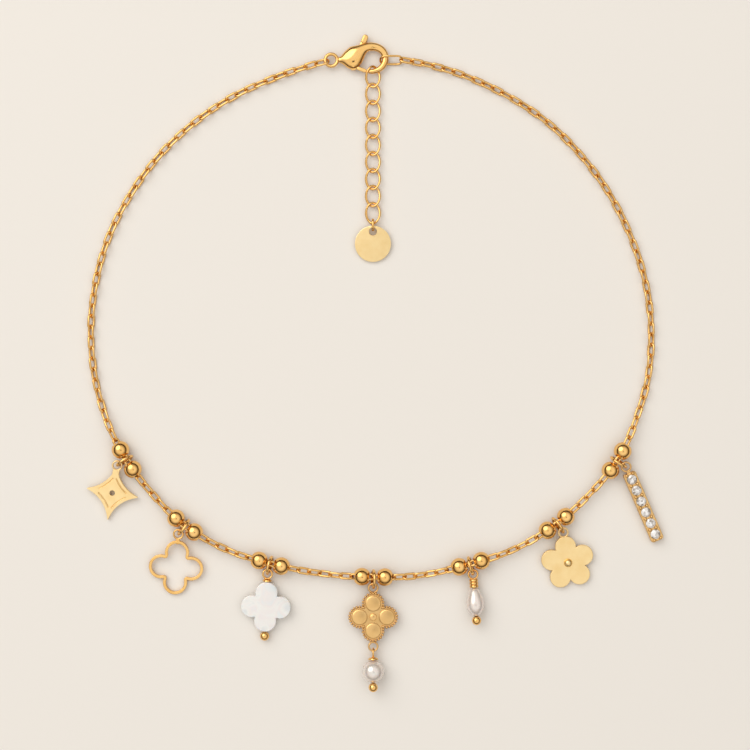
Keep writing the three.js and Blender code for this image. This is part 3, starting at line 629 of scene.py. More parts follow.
def spline(points, divisions):
    """Points on a smooth curve through the given ones, evenly spread between each pair."""
    ends = [2 * points[0] - points[1], *points, 2 * points[-1] - points[-2]]
    curve = [points[0]]
    for p0, p1, p2, p3 in zip(ends, ends[1:], ends[2:], ends[3:]):
        d0, d1, d2 = (math.sqrt((b - a).length) for a, b in ((p0, p1), (p1, p2), (p2, p3)))
        out = ((p1 - p0) / d0 - (p2 - p0) / (d0 + d1) + (p2 - p1) / d1) * d1
        back = ((p2 - p1) / d1 - (p3 - p1) / (d1 + d2) + (p3 - p2) / d2) * d1
        for i in range(1, divisions + 1):
            t = i / divisions
            square, cube = t * t, t * t * t
            curve.append(
                (2 * cube - 3 * square + 1) * p1 + (cube - 2 * square + t) * out
                + (3 * square - 2 * cube) * p2 + (cube - square) * back
            )
    return curve


plan = spline([Vector((x, y, 0)) for x, y in ROUTE], PER_SPAN)
runs = [0.0]
for a, b in zip(plan, plan[1:]):
    runs.append(runs[-1] + (b - a).length)
WHOLE = runs[-1]
STATION_RUNS = [runs[PER_SPAN * row] for row in STATION_ROWS]
print("chain length", round(WHOLE, 1), "mm")

# %% [markdown]
# The chain lies on the table, but climbs to the middle of each bead and to the clasp.

# %% Height of the chain above the table
CHAIN_LOW, BEAD_HIGH, CLASP_HIGH = 0.8, 2.1, 1.3
STATION_HALF, RISE = 4.5, 12.0


def smooth(value, low, high):
    share = min(max((value - low) / (high - low), 0), 1)
    return share * share * (3 - 2 * share)


def height_at(run):
    away = min(abs(run - at) for at in STATION_RUNS)
    at_beads = 1 - smooth(away, STATION_HALF + 2 * CHAIN_LOW, STATION_HALF + RISE)
    at_clasp = 1 - smooth(min(run, WHOLE - run), 0, RISE)
    return CHAIN_LOW + (BEAD_HIGH - CHAIN_LOW) * at_beads + (CLASP_HIGH - CHAIN_LOW) * at_clasp


def on_route(run):
    """Place in millimetres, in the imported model's frame."""
    inside = min(max(run, 0), WHOLE)
    i = min(max(next((k for k, r in enumerate(runs) if r >= inside), 1), 1), len(runs) - 1)
    share = (run - runs[i - 1]) / (runs[i] - runs[i - 1])
    place = plan[i - 1].lerp(plan[i], share)
    return Vector((place.x, place.y, height_at(inside))) + SHIFT


print("lowest station", [round(value, 2) for value in on_route(STATION_RUNS[3])])

# %% [markdown]
# Links lean left and right in turn, by half of a right angle and a little more or less,
# because a loose chain is never quite even.

# %% Links
LINK_WIRE, LINK_WIDTH, LINK_PITCH, LINK_PLAY = 0.57, 2.06, 2.5, 0.04
LINK_ROLL, LOOSE, LOOSE_STEP = 45, 5, 1.7
END_GAP = 0.5

count = round((WHOLE - 2 * END_GAP) / LINK_PITCH)
pitch = (WHOLE - 2 * END_GAP) / count
first_link = oval("link", pitch + 2 * LINK_WIRE + LINK_PLAY, LINK_WIDTH, LINK_WIRE, 10, 24)
halves = {"chain_left": [], "chain_right": []}
for i in range(count + 1):
    run = END_GAP + i * pitch
    along = on_route(run + pitch / 2) - on_route(run - pitch / 2)
    roll = (LINK_ROLL if i % 2 else -LINK_ROLL) + LOOSE * math.sin(LOOSE_STEP * i)
    twin = copied(first_link, f"chain_link_{i}")
    lean = spun(roll, "Y")
    twin.matrix_world = frame_at(on_route(run), along) @ lean
    halves["chain_left" if run < STATION_RUNS[3] else "chain_right"].append(twin)
put_away(first_link)
for half, chain_links in halves.items():
    for twin in chain_links:
        only(twin)
        bpy.ops.object.transform_apply(location=True, rotation=True, scale=True)
    whole = joined(*chain_links)
    whole.name = f"{half}_links"
    seat(whole, Matrix.Identity(4), POLISHED, half, angle=80)
print("links", count + 1, "pitch", round(pitch, 3))

# %% [markdown]
# ## Clasp
#
# A lobster clasp is cast: a domed body that narrows into a round hook. Its lever turns on
# a rivet between two cheeks, and a spring inside pushes the gate shut against the hook's
# tip. The body is swept along its bent middle line with a width and depth for each step,
# because a flat outline would not catch the light as the dome does. The slots are cut at
# four turns of the lever, so that it has room all the way.

# %% Clasp body
# Columns: x, y, half width, half depth, heading. Millimetres from the eye's centre.
BODY_ROWS = [
    (1.5, 0.04, 0.62, 0.5, 0),
    (1.95, 0.06, 0.68, 0.6, 1),
    (2.3, 0.1, 0.84, 0.74, 2),
    (2.65, 0.14, 1.16, 0.9, 5),
    (3.1, 0.16, 1.66, 1.1, 7),
    (3.7, 0.12, 2.2, 1.3, 9),
    (4.6, 0.2, 2.7, 1.42, 13),
    (5.6, 0.72, 2.8, 1.44, 23),
    (6.55, 1.82, 1.98, 1.28, 36),
    (7.5, 2.72, 1.24, 1.02, 34),
    (8.7, 3.2, 1.03, 0.84, 13),
    (10.25, 3.2, 0.99, 0.72, -10),
    (11.56, 2.7, 0.94, 0.68, -35),
    (12.46, 1.79, 0.88, 0.65, -60),
    (12.8, 0.59, 0.82, 0.62, -85),
    (12.6, -0.71, 0.77, 0.6, -110),
    (11.85, -1.79, 0.72, 0.59, -137),
    (10.74, -2.47, 0.66, 0.58, -160),
    (9.6, -2.68, 0.6, 0.56, -178),
    (8.85, -2.66, 0.54, 0.52, -184),
    (8.66, -2.65, 0.32, 0.32, -184),
]
SLOT_DEPTH = 0.95
EYE_SIZE, EYE_WIRE = 3.65, 0.8
GATE_SLOT, THUMB_SLOT, SLOT_TURNS = 1.2, 1.55, (0, 7, 14, 20)
GATE_END, THUMB_END = Vector((7.95, -2.53)), Vector((8.02, 5.3))
# Columns: radius, height.
RIVET_ROWS = [(0, -0.98), (0.26, -0.94), (0.3, -0.8), (0.3, 0.8), (0.26, 0.94), (0, 0.98)]


def bar(name, start_at, end_at, width, depth):
    """A flat bar with round ends, as a lever's arm or the slot for it."""
    way = Vector(end_at) - Vector(start_at)
    length, half = way.length, width / 2
    moves = [(length, 0, 180, 10), (0, half), (0, 0, 180, 10)]
    thing = outline(name, (length, -half), moves, depth)
    return moved(thing, (*start_at[:2], 0), math.degrees(math.atan2(way.y, way.x)))


body = swept("clasp_shell", BODY_ROWS)
modified(body, "SUBSURF", levels=2, render_levels=2)
HINGE = PIVOT_FROM_EYE.xy
for turn in SLOT_TURNS:
    for tip, width in ((GATE_END, GATE_SLOT), (THUMB_END, THUMB_SLOT)):
        reach = Matrix.Rotation(math.radians(turn), 2) @ (tip - HINGE)
        cut_by(body, bar("slot", HINGE, HINGE + reach, width, SLOT_DEPTH))
only(body)
mode("EDIT")
closed(body)
eye = ring_of("eye", EYE_SIZE, EYE_WIRE, 14, 44)
rivet = turned("rivet", RIVET_ROWS, 20)
moved(rivet, PIVOT_FROM_EYE)
clasp = joined(body, eye, rivet)
AT_EYE = Matrix.Translation(EYE * MM)
seat(clasp, AT_EYE, POLISHED, "clasp_body", angle=50)
print("clasp faces", len(clasp.data.polygons))

# %% [markdown]
# The lever is one stamped piece: the gate, a round hub with the rivet's hole, and the
# thumb tab that stands out at the top. It rides on its own body, so that it swings.

# %% Clasp lever
GATE_WIDTH, THUMB_WIDTH, LEVER_THICK, LEVER_EDGE = 0.84, 1.25, 0.8, 0.14
HUB, THUMB_FROM, TAB_LONG, TAB_WIDTH, TAB_THICK, TAB_EDGE = 0.9, 0.95, 0.9, 1.33, 1.2, 0.26
# Columns: radius, height.
HUB_ROWS = [(0.45, -0.4), (HUB, -0.4), (HUB, 0.4), (0.45, 0.4), (0.45, -0.4)]
hub = moved(turned("hub", HUB_ROWS, 32), PIVOT_FROM_EYE)
gate_way, thumb_way = (GATE_END - HINGE).normalized(), (THUMB_END - HINGE).normalized()
gate_arm = bar("gate_arm", HINGE + gate_way * HUB, GATE_END, GATE_WIDTH, LEVER_THICK)
thumb_from = HINGE + thumb_way * THUMB_FROM
thumb_arm = bar("thumb_arm", thumb_from, THUMB_END, THUMB_WIDTH, LEVER_THICK)
tab = bar("tab", THUMB_END - thumb_way * TAB_LONG, THUMB_END, TAB_WIDTH, TAB_THICK)
for part in (gate_arm, thumb_arm):
    eased(part, LEVER_EDGE)
eased(tab, TAB_EDGE, 4)
lever = joined(hub, gate_arm, thumb_arm, tab)
lever.name = "clasp_gate"
seat(lever, AT_EYE, POLISHED, "clasp_lever", "lever")
print("lever faces", len(lever.data.polygons))

# %% [markdown]
# ## End links, extender and tag
#
# The chain's ends hold the clasp with longer links, one in its eye and one in its hook.
# They lean to one side, so that each passes through its neighbours without touching.

# %% End links
# Columns: node, length, width, wire, heading in degrees.
END_LINKS = [("end_link_left", 3.8, 2.4, 0.5, 194), ("end_link_right", 5.7, 3.0, 0.5, 0)]
END_ROLL = 48
for node, length, width, wire, heading in END_LINKS:
    end = oval(f"{node}_wire", length, width, wire, 12, 36)
    turn = spun(heading - 90, "Z")
    roll = spun(END_ROLL, "Y")
    seat(end, Matrix.Translation(middle(node)) @ turn @ roll, POLISHED, node, angle=80)
print("end links", len(END_LINKS))

# %% [markdown]
# The extender is a short curb chain: its links are twisted a little so that they lie
# flat. The twist is put in with a deform modifier on a straight oval, as the real links
# are twisted after soldering. The top link is twisted more, because it rides up the hook.

# %% Extender
EXTENDER_LINKS = 9
CURB_WIRE, CURB_WIDTH, CURB_LENGTH = 0.57, 3.8, 5.39
CURB_TWIST, TOP_TWIST, TOP_TILT = 25, 43, 4


def rounded_oval(name, length, width, wire, sides=12, steps=40):
    """A ring drawn out to an ellipse, step by step, so that its wire keeps its thickness."""
    thing = ring_of(name, width, wire, sides, steps)
    mode("EDIT")
    turns = [2 * math.pi * i / steps for i in range(steps)]
    for turn in sorted(turns, key=lambda angle: -abs(math.sin(angle))):
        way = Vector((math.cos(turn), math.sin(turn)))
        pick(thing, lambda place: place.xy.normalized().dot(way) > math.cos(math.pi / steps))
        pull = (length - width) / 2 * math.sin(turn)
        bpy.ops.transform.translate(value=(0, pull, 0))
    mode("OBJECT")
    return thing


def twisted(name, top):
    thing = rounded_oval(name, CURB_LENGTH, CURB_WIDTH, CURB_WIRE)
    turn = math.radians(top + CURB_TWIST)
    modified(thing, "SIMPLE_DEFORM", deform_method="TWIST", deform_axis="Y", angle=turn)
    return moved(thing, turn=(top - CURB_TWIST) / 2, axis="Y")


for number in range(1, EXTENDER_LINKS + 1):
    node = f"extender_link_{number}"
    curb = twisted(f"curb_link_{number}", TOP_TWIST if number == 1 else CURB_TWIST)
    tilt = spun(TOP_TILT if number == 1 else 0, "X")
    seat(curb, Matrix.Translation(middle(node)) @ tilt, POLISHED, node, angle=80)
print("extender", EXTENDER_LINKS, "links")

# %% [markdown]
# The tag is a round plate with a softened rim and a countersunk hole. It leans on the
# upright ring that holds it, so its far edge lies on the table and its near one doesn't.

# %% Tag
TAG_RING_WIDTH, TAG_HOLE, HOLE_OUT = 2.5, 1.8, 2.9
SINK, SINK_WIDE = 0.06, 3.2
TAG_RISE, TAG_RUN = 0.87, 8.05
# Columns: radius, height.
TAG_ROWS = [
    (0, -0.35), (4.1, -0.35), (4.22, -0.3), (4.25, 0), (4.22, 0.3), (4.1, 0.35), (0, 0.35),
]
low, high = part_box("tag_ring")
tag_wire = oval("tag_wire", (high[1] - low[1]) / MM, TAG_RING_WIDTH, CURB_WIRE, 12, 36)
upright = Matrix.Translation(middle("tag_ring")) @ spun(90, "Y")
seat(tag_wire, upright, POLISHED, "tag_ring", angle=80)
tag = turned("tag_plate", TAG_ROWS, 64)
bore, deep, wide = TAG_HOLE / 2, TAG_ROWS[-1][1] - SINK, SINK_WIDE / 2
sink_rows = [(0, -1), (wide, -1), (bore, -deep), (bore, deep), (wide, 1), (0, 1)]
cut_by(tag, moved(turned("countersink", sink_rows, 32), (0, HOLE_OUT, 0)))
tilt = Matrix.Rotation(math.asin(TAG_RISE / TAG_RUN), 4, "X")
tag_place = Matrix.Translation(middle("tag_disc")) @ tilt
seat(tag, tag_place, SATIN, "tag_disc", flat=True)
print("tag", 2 * TAG_ROWS[3][0], "mm")

# %% [markdown]
# ## Charms
#
# Each charm is modelled with its loop's centre at the origin, hanging towards -Y. It is
# then tilted until its far end touches the table, and turned the way that it lies.

# %% Where a charm hangs
# HANG holds the turn of each charm on the table, in degrees, from the first station on.
LOOP, LOOP_WIRE, LOOP_HEIGHT, LOOP_AWAY = 2.6, 0.45, 1.7, 2.1579
RING_HEIGHT = 2.3
HANG = (-10.5, -4.2, -2.8, 0, 4.1, 9.1, 23.5)


def rest_tilt(reach, under):
    return math.asin(LOOP_HEIGHT / math.hypot(reach, under)) - math.atan2(under, reach)


def charm_frame(number, tilt):
    out = ALONG[number].cross(Vector((0, 0, 1)))
    place = middle(f"jump_ring_{number}") + out * LOOP_AWAY * MM
    place.z -= (RING_HEIGHT - LOOP_HEIGHT) * MM
    turn = spun(HANG[number - 1], "Z")
    return Matrix.Translation(place) @ turn @ Matrix.Rotation(tilt, 4, "X")


# %% [markdown]
# A plate's loop is a wire ring soldered to it with a short neck.

# %% Loop and neck
NECK_WIDE, NECK_DEEP = 0.9, 0.8


def with_loop(charm, top, wide=NECK_WIDE):
    """Solders the loop on with a short neck, and keeps its hole clear."""
    loop_radius = (LOOP - LOOP_WIRE) / 2
    foot = Vector((0, -top - wide / 2))
    post = eased(bar("neck", Vector((0, -loop_radius)), foot, wide, NECK_DEEP), 0.12)
    hole = [(0, -2), (loop_radius, -2), (loop_radius, 2), (0, 2)]
    for part in (charm, post):
        cut_by(part, turned("loop_hole", hole, 40))
    return joined(charm, post, ring_of("loop", LOOP, LOOP_WIRE, 12, 40))


# %% [markdown]
# The star charm is sawn from satin sheet: four blunt tips with hollow sides, a drilled
# centre and a line engraved along each side. A line is cut with part of a ring whose
# middle is the middle of the side's own arc, so it stays parallel to the side, and as a
# real groove it holds a shadow.

# %% Star charm
STAR_W, STAR_H, STAR_HOLLOW, STAR_BLUNT = 12.8, 13.7, 1.45, 1.2
STAR_THICK, STAR_REACH, STAR_FAR, STAR_HOLE = 1.0, 6.55, 12.7, 1.3
STAR_NECK, STAR_NECK_TOP, STAR_EDGE = 1.6, 1.3, 0.07
GROOVE, GROOVE_IN, GROOVE_SWEEP = 0.42, 0.78, 28

chord = math.hypot(STAR_W, STAR_H) / 2
scoop = (chord ** 2 / 4 + STAR_HOLLOW ** 2) / (2 * STAR_HOLLOW)
arc = 2 * math.degrees(math.asin(chord / 2 / scoop))
up, out = Vector((0, STAR_H / 2)), Vector((STAR_W / 2, 0))
tips = [up, -out, -up, out]
moves, scoops = [], []
for tip, after in zip(tips, tips[1:] + tips[:1]):
    half_way = (tip + after) / 2
    away = (after - tip).orthogonal().normalized()
    if away.dot(half_way) < 0:
        away = -away
    centre = half_way + away * math.sqrt(scoop ** 2 - (chord / 2) ** 2)
    scoops.append((centre, away))
    moves.append((centre.x, centre.y, -arc, 16))
star = outline("star_plate", tuple(tips[0]), moves, STAR_THICK)
mode("EDIT")
pick(star, lambda place: min((place.xy - tip).length for tip in tips) < GROOVE / 2)
bpy.ops.mesh.bevel(offset=STAR_BLUNT, segments=3, affect="EDGES")
closed(star)
bore = STAR_HOLE / 2
cut_by(star, turned("drill", [(0, -1), (bore, -1), (bore, 1), (0, 1)], 28))
for centre, away in scoops:
    groove = ring_of("groove", 2 * (scoop + GROOVE_IN) + GROOVE, GROOVE, 8, 120)
    mode("EDIT")
    back = -away
    pick(groove, lambda place: place.xy.angle(back) > math.radians(GROOVE_SWEEP / 2))
    bpy.ops.mesh.delete(type="VERT")
    select_every_point()
    bpy.ops.mesh.region_to_loop()
    bpy.ops.mesh.edge_face_add()
    closed(groove)
    moved(groove, (centre.x, centre.y, STAR_THICK / 2 - GROOVE / 4))
    cut_by(star, groove)
eased(star, STAR_EDGE, 2, 50)
moved(star, (0, -STAR_REACH, 0))
with_loop(star, STAR_NECK_TOP, STAR_NECK)
star_frame = charm_frame(1, rest_tilt(STAR_FAR, STAR_THICK / 2))
seat(star, star_frame, SATIN, "star_charm", flat=True)
print("star scoop radius", round(scoop, 2))

# %% [markdown]
# Quatrefoils and blossoms are round lobes set about a centre. One lobe's arc runs from
# notch to notch, so the whole outline is one arc repeated round the middle.

# %% Lobed outlines
def lobe_out(lobes, span, notches):
    across = notches * math.cos(math.pi / lobes)
    return (span ** 2 - notches ** 2) / (4 * (span - across))


def lobed(name, lobes, span, notches, height, inset=0, steps=22):
    out, notch, half = lobe_out(lobes, span, notches), notches / 2, math.pi / lobes
    sweep = math.atan2(notch * math.sin(half), notch * math.cos(half) - out)
    radius = span / 2 - out
    moves = []
    for i in range(lobes):
        turn = math.pi / 2 + 2 * half * i
        moves.append((out * math.cos(turn), out * math.sin(turn), math.degrees(2 * sweep), steps))
        if inset:
            at, bend = turn + half, 2 * (sweep - half)
            moves.append((notch * math.cos(at), notch * math.sin(at), -math.degrees(bend), 4))
    begin = math.pi / 2 - sweep
    first = (
        out * math.cos(math.pi / 2) + (radius - inset) * math.cos(begin),
        out * math.sin(math.pi / 2) + (radius - inset) * math.sin(begin),
    )
    return outline(name, first, moves, height)


# %% [markdown]
# The open quatrefoil is a band: a plate of four lobes with a smaller one sawn out of it.
# The inside is set in by the band's width, and its notches are rounded by that width.

# %% Open quatrefoil charm
OPEN_SPAN, OPEN_NOTCH, OPEN_BAND, OPEN_THICK, OPEN_TOP = 12.8, 7.7, 0.7, 0.9, 1.5
frame_wire = lobed("open_quatrefoil", 4, OPEN_SPAN, OPEN_NOTCH, OPEN_THICK)
inside = lobed("inside", 4, OPEN_SPAN, OPEN_NOTCH, 3 * OPEN_THICK, OPEN_BAND)
cut_by(frame_wire, inside)
eased(frame_wire, 0.16, 3, 50)
open_reach = OPEN_TOP + OPEN_SPAN / 2
moved(frame_wire, (0, -open_reach, 0))
with_loop(frame_wire, OPEN_TOP)
seat(
    frame_wire, charm_frame(2, rest_tilt(open_reach + OPEN_SPAN / 2, OPEN_THICK / 2)),
    POLISHED, "open_quatrefoil_charm", flat=True,
)
print("open quatrefoil", OPEN_SPAN, "mm")

# %% [markdown]
# The shell quatrefoil is a thick slice of mother of pearl, threaded on a head pin: a loop
# and a small cap above, a polished ball below. Pins are turned in one piece here.

# %% Head pins
PIN, PIN_BALL, CAP, CAP_HIGH, SEAT_GAP = 0.5, 2.2, 2.1, 0.65, 0.1
BORE_OF_PIN = 0.8
BALL_SEAT = math.sqrt(PIN_BALL ** 2 - BORE_OF_PIN ** 2) / 2


def head_pin(name, loop, roll, shoulder, ball_at):
    """Columns of the shoulder: radius, distance from the loop's centre."""
    rows = [(0, -shoulder[0][1])] + [(radius, -along) for radius, along in shoulder]
    rows += [(PIN / 2, rows[-1][1]), (PIN / 2, -ball_at), (0, -ball_at)]
    stem = turned(name, rows[::-1], 28)
    moved(stem, turn=-90, axis="X")
    wire_loop = ring_of("loop", loop, LOOP_WIRE, 12, 36)
    moved(wire_loop, turn=roll, axis="Y")
    return joined(stem, wire_loop, ball("ball", PIN_BALL, (0, -ball_at, 0)))


def cap_rows(top, width, height):
    shape = [(0.3, 0.0), (0.62, 0.14), (0.86, 0.4), (1, 0.78), (1, 1)]
    return [(width / 2 * across, top + height * along) for across, along in shape]


# %% Shell quatrefoil charm
SHELL_SPAN, SHELL_NOTCH, SHELL_THICK = 11.7, 7.0, 1.9
loop_radius = (LOOP - LOOP_WIRE) / 2
shell_top = loop_radius + CAP_HIGH + SEAT_GAP
shell_reach = shell_top + SHELL_SPAN / 2
shell_ball = shell_reach + SHELL_SPAN / 2 + SEAT_GAP + BALL_SEAT
slice_of_shell = lobed("shell_slice", 4, SHELL_SPAN, SHELL_NOTCH, SHELL_THICK, steps=28)
eased(slice_of_shell, 0.42, 5, 50)
drill = turned("drill", [(0, -9), (BORE_OF_PIN / 2, -9), (BORE_OF_PIN / 2, 9), (0, 9)], 20)
cut_by(slice_of_shell, moved(drill, turn=90, axis="X"))
moved(slice_of_shell, (0, -shell_reach, 0))
shell_frame = charm_frame(3, rest_tilt(shell_ball, PIN_BALL / 2))
seat(slice_of_shell, shell_frame, SHELL, "shell_quatrefoil", angle=50)
shell_pin = head_pin("shell_head_pin", LOOP, 0, cap_rows(loop_radius, CAP, CAP_HIGH), shell_ball)
seat(shell_pin, shell_frame, POLISHED, "shell_pin")
print("shell quatrefoil", SHELL_SPAN, "mm")

# %% [markdown]
# The rosette is granulated work: four low discs, each ringed by a row of tiny soldered
# grains, and a boss in the middle. A grain is a small ball, copied along each ring and
# left out where two rings meet and beside the boss. The discs and the boss are turned.

# %% Rosette charm
ROSE_SPAN, ROSE_NOTCH, ROSE_THICK, ROSE_LOOP, CHARM_TOP = 11.8, 7.5, 0.9, 2.5, 0.9
ROSE_GRAINS, ROSE_GRAIN, GRAIN_INSET = 22, 0.66, 0.528
# Columns: radius, height above the plate.
DISC_ROWS = [(0, 0.3), (1.5, 0.29), (1.74, 0.24), (1.85, 0.12), (1.87, -0.45), (0, -0.45)]
BOSS_ROWS = [(0, 0.36), (0.5, 0.34), (0.74, 0.25), (0.85, 0), (0.85, -0.45), (0, -0.45)]

rosette = lobed("rosette_plate", 4, ROSE_SPAN, ROSE_NOTCH, ROSE_THICK, GRAIN_INSET, 24)
eased(rosette, 0.1, 3, 50)
out = lobe_out(4, ROSE_SPAN, ROSE_NOTCH)
grain_ring = ROSE_SPAN / 2 - out - ROSE_GRAIN / 2
clear_of_boss = BOSS_ROWS[3][0] + ROSE_GRAIN
top = ROSE_THICK / 2
centres = [Vector(way) * out for way in ((1, 0, 0), (0, 1, 0), (-1, 0, 0), (0, -1, 0))]
relief_parts = []
disc = moved(turned("disc", DISC_ROWS, 40), (0, 0, top))
grain = ball("grain", ROSE_GRAIN, sides=10)
for centre in centres:
    relief_parts.append(moved(copied(disc, "disc_copy"), centre))
    for i in range(ROSE_GRAINS):
        turn = 2 * math.pi * (i + 0.5) / ROSE_GRAINS
        spot = centre + grain_ring * Vector((math.cos(turn), math.sin(turn), 0))
        apart = all(other is centre or (other - spot).length > grain_ring for other in centres)
        if apart and spot.length > clear_of_boss:
            part = copied(grain, "grain_copy")
            part.location = (spot.x, spot.y, top)
            relief_parts.append(part)
relief_parts.append(moved(turned("boss", BOSS_ROWS, 32), (0, 0, top)))
relief = joined(*relief_parts)
put_away(disc, grain)
rose_reach = CHARM_TOP + ROSE_SPAN / 2
rose_bend = (ROSE_LOOP - LOOP_WIRE) / 2
low_loop_at = rose_reach + ROSE_SPAN / 2 + rose_bend
for part in (rosette, relief):
    moved(part, (0, -rose_reach, 0))
low_hole = [(0, -2), (rose_bend, -2), (rose_bend, 2), (0, 2)]
cut_by(rosette, moved(turned("low_hole", low_hole, 36), (0, -low_loop_at, 0)))
low_loop = moved(ring_of("low_loop", ROSE_LOOP, LOOP_WIRE, 12, 36), (0, -low_loop_at, 0))
joined(with_loop(rosette, CHARM_TOP), relief, low_loop)
rose_frame = charm_frame(4, 0)
seat(rosette, rose_frame, GRAINED, "rosette_charm", flat=True)
print("rosette faces", len(rosette.data.polygons))

# %% [markdown]
# A round pearl hangs under the rosette on its own head pin. It is turned with its bore, as
# the beads are, and tilts about the rosette's lower loop until it touches the table.

# %% Pearl under the rosette
PEARL_SIZE, PEARL_CAP, PEARL_NECK = 5.2, 2.4, 0.7


def drilled(diameter, bore=BORE_OF_PIN):
    return math.sqrt(diameter ** 2 - bore ** 2)


pearl_at = rose_bend + PEARL_NECK + SEAT_GAP + drilled(PEARL_SIZE) / 2
pearl_ball = pearl_at + drilled(PEARL_SIZE) / 2 + SEAT_GAP + BALL_SEAT
hook_at = -low_loop_at - 2 * rose_bend + LOOP_WIRE * 4 / 3
pearl_tilt = Matrix.Rotation(rest_tilt(pearl_at, PEARL_SIZE / 2), 4, "X")
dangle = rose_frame @ Matrix.Translation(Vector((0, hook_at, 0)) * MM) @ pearl_tilt
round_pearl = turned("round_pearl", bored(PEARL_SIZE, BORE_OF_PIN, 0.04), 48)
moved(moved(round_pearl, turn=90, axis="X"), (0, -pearl_at, 0))
seat(round_pearl, dangle, PEARL, "rosette_pearl")
cap = cap_rows(rose_bend, PEARL_CAP, PEARL_NECK)
pearl_pin = head_pin("pearl_head_pin", ROSE_LOOP, 90, cap, pearl_ball)
seat(pearl_pin, dangle, POLISHED, "rosette_pearl_pin")
print("round pearl", PEARL_SIZE, "mm")

# %% [markdown]
# The drop pearl hangs from a wrapped loop: the pin's end is wound round its own neck. The
# turns are ribs in the turned shoulder, close enough to touch each other.

# %% Drop pearl charm
DROP_LONG, DROP_WIDE, DROP_NECK, WRAP, WRAP_TURNS, DROP_BELLY = 6.4, 4.4, 2.1, 2.1, 3, 0.62
# Columns: share of the turn's height, share of its radius.
WRAP_ROWS = [(0.02, 0.8), (0.15, 0.94), (0.35, 1), (0.65, 1), (0.85, 0.94), (0.98, 0.8)]
# Columns: share of the length, share of the width.
DROP_ROWS = [
    (0.0, 0.3), (0.03, 0.44), (0.09, 0.57), (0.25, 0.76), (0.44, 0.93), (0.62, 1.0),
    (0.79, 0.87), (0.92, 0.58), (0.98, 0.38), (1.0, 0.3),
]
wrap_turn = DROP_NECK / WRAP_TURNS
wrap_rows = []
for i in range(WRAP_TURNS):
    for along, across in WRAP_ROWS:
        wrap_rows.append((WRAP / 2 * across, loop_radius + wrap_turn * (i + along)))
drop_top = loop_radius + DROP_NECK + SEAT_GAP
drop_ball = drop_top + DROP_LONG + SEAT_GAP + BALL_SEAT
bore = BORE_OF_PIN / 2
drop_profile = [(bore, -drop_top)] + [
    (DROP_WIDE / 2 * across, -drop_top - DROP_LONG * along) for along, across in DROP_ROWS
] + [(bore, -drop_top - DROP_LONG), (bore, -drop_top)]
drop = turned("pearl_drop", drop_profile[::-1], 40)
moved(drop, turn=-90, axis="X")
modified(drop, "SUBSURF", levels=1, render_levels=1)
drop_frame = charm_frame(5, rest_tilt(drop_top + DROP_LONG * DROP_BELLY, DROP_WIDE / 2))
seat(drop, drop_frame, PEARL, "drop_pearl", angle=80)
drop_pin = head_pin("drop_head_pin", LOOP, 0, wrap_rows, drop_ball)
seat(drop_pin, drop_frame, POLISHED, "drop_pearl_pin")
print("drop pearl", DROP_LONG, "mm")

# %% [markdown]
# The blossom is stamped from satin sheet with five petals and a small domed centre.

# %% Blossom charm
BLOOM_SPAN, BLOOM_NOTCH, BLOOM_THICK, BLOOM_BOSS = 12.6, 8.1, 1.1, 2.0
blossom = lobed("blossom_plate", 5, BLOOM_SPAN, BLOOM_NOTCH, BLOOM_THICK, steps=22)
eased(blossom, 0.14, 3, 50)
bloom_reach = CHARM_TOP + BLOOM_SPAN / 2
moved(blossom, (0, -bloom_reach, 0))
boss = ball("boss", BLOOM_BOSS, (0, -bloom_reach, BLOOM_THICK / 2))
joined(with_loop(blossom, CHARM_TOP), boss)
seat(
    blossom, charm_frame(6, rest_tilt(bloom_reach + BLOOM_SPAN / 2, BLOOM_THICK / 2)),
    SATIN, "blossom_charm", flat=True,
)
print("blossom", BLOOM_SPAN, "mm")

# %% [markdown]
# The bar holds six round stones in drilled seats. Its width and length follow from the
# stones, the gap between two of them and the walls round them.

# %% Stone bar
STONE, STONE_GAP, BAR_WALL, BAR_END = 2.3, 0.5, 0.405, 0.545
BAR_THICK, BAR_TOP, BAR_CORNER, BAR_STONES = 1.6, 1.5, 0.6, 6
bar_wide = STONE + 2 * BAR_WALL
bar_long = (STONE + STONE_GAP) * (BAR_STONES - 1) + STONE + 2 * BAR_END
x, y = bar_wide / 2 - BAR_CORNER, bar_long / 2 - BAR_CORNER
plate = outline(
    "bar_plate", (x + BAR_CORNER, -y),
    [
        (x + BAR_CORNER, y), (x, y, 90, 5), (-x, y + BAR_CORNER), (-x, y, 90, 5),
        (-x - BAR_CORNER, -y), (-x, -y, 90, 5), (x, -y - BAR_CORNER), (x, -y, 90, 5),
    ],
    BAR_THICK,
)
eased(plate, 0.2, 3, 50)
bar_reach = BAR_TOP + bar_long / 2
bar_frame = charm_frame(7, rest_tilt(bar_reach + bar_long / 2, BAR_THICK / 2))
print("bar", round(bar_wide, 2), "by", round(bar_long, 2))

# %% [markdown]
# A stone is a brilliant: a flat table, sloping crown facets, a thin girdle and a deep
# pointed pavilion that throws the light back. One is cut here, and copied later.

# %% Brilliant
# Shares of the stone's width.
PAVILION, CROWN, TABLE, GIRDLE = 0.42, 0.15, 0.57, 0.04
pavilion, girdle = PAVILION * STONE, GIRDLE * STONE / 2
crown = girdle + CROWN * STONE


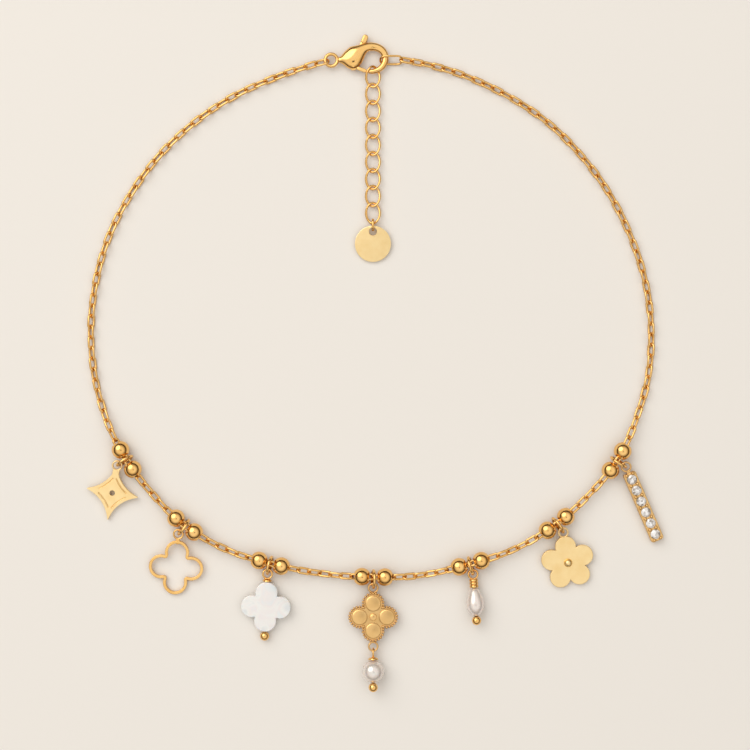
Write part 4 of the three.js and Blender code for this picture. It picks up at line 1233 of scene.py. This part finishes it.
def brilliant(name):
    """A sixteen-sided girdle over a pointed pavilion, bridged to an eight-sided table."""
    bpy.ops.mesh.primitive_circle_add(
        vertices=8, radius=TABLE * STONE / 2, location=(0, 0, crown)
    )
    top_face = bpy.context.object
    bpy.ops.object.transform_apply(location=True, rotation=False, scale=False)
    bpy.ops.mesh.primitive_circle_add(vertices=16, radius=STONE / 2, location=(0, 0, girdle))
    thing = bpy.context.object
    thing.name = name
    bpy.ops.object.transform_apply(location=True, rotation=False, scale=False)
    mode("EDIT")
    select_every_point()
    bpy.ops.mesh.extrude_region_move(TRANSFORM_OT_translate={"value": (0, 0, -2 * girdle)})
    bpy.ops.mesh.extrude_region_move(TRANSFORM_OT_translate={"value": (0, 0, -pavilion)})
    bpy.ops.mesh.merge(type="CENTER")
    mode("OBJECT")
    joined(thing, top_face)
    mode("EDIT")
    pick(thing, lambda place: place.z > girdle / 2)
    bpy.ops.mesh.bridge_edge_loops()
    pick(thing, lambda place: place.z > (girdle + crown) / 2)
    bpy.ops.mesh.edge_face_add()
    return closed(thing)


first_stone = brilliant("brilliant")
print("stone depth", round(crown + girdle + pavilion, 2), "mm")

# %% [markdown]
# Between two stones, and beyond the last ones, small beads of metal are pushed over the
# girdles. A seat is a cone under each stone with a little room all round.

# %% Seats, stones and prongs
SEAT_ROOM, PRONG, PRONG_OUT = 0.05, 0.86, 0.34

face = BAR_THICK / 2
deep, rim = face - pavilion - 2 * SEAT_ROOM, STONE / 2 + SEAT_ROOM
seat_rows = [(0, deep), (0.1, deep), (rim, face), (rim, face + 1), (0, face + 1)]
prong_limit = bar_long / 2 - PRONG / 2
prong = ball("prong", PRONG, sides=14)
prongs = []
for i in range(BAR_STONES + 1):
    row = ((BAR_STONES - 1) / 2 - i) * (STONE + STONE_GAP)
    between = min(max(row + (STONE + STONE_GAP) / 2, -prong_limit), prong_limit)
    for side in (-1, 1):
        part = copied(prong, "prong_copy")
        part.location = (side * STONE * PRONG_OUT, between, face + PRONG / 8)
        prongs.append(part)
    if i < BAR_STONES:
        cut_by(plate, moved(turned("drill", seat_rows, 28), (0, row, 0)))
        stone = copied(first_stone, f"brilliant_{i + 1}")
        moved(stone, (0, row - bar_reach, face + girdle))
        seat(stone, bar_frame, CRYSTAL, f"bar_stone_{i + 1}", angle=5)
prongs = joined(*prongs)
put_away(prong, first_stone)
for part in (plate, prongs):
    moved(part, (0, -bar_reach, 0))
joined(with_loop(plate, BAR_TOP), prongs)
seat(plate, bar_frame, GRAINED, "stone_bar", flat=True)
print("stones", BAR_STONES)

# %% [markdown]
# The finished pieces and their triangles are counted.

# %% Measure and finish
triangles = sum(len(p.vertices) - 2 for piece in PIECES.values() for p in piece.data.polygons)
print("pieces", len(PIECES), "triangles", triangles)
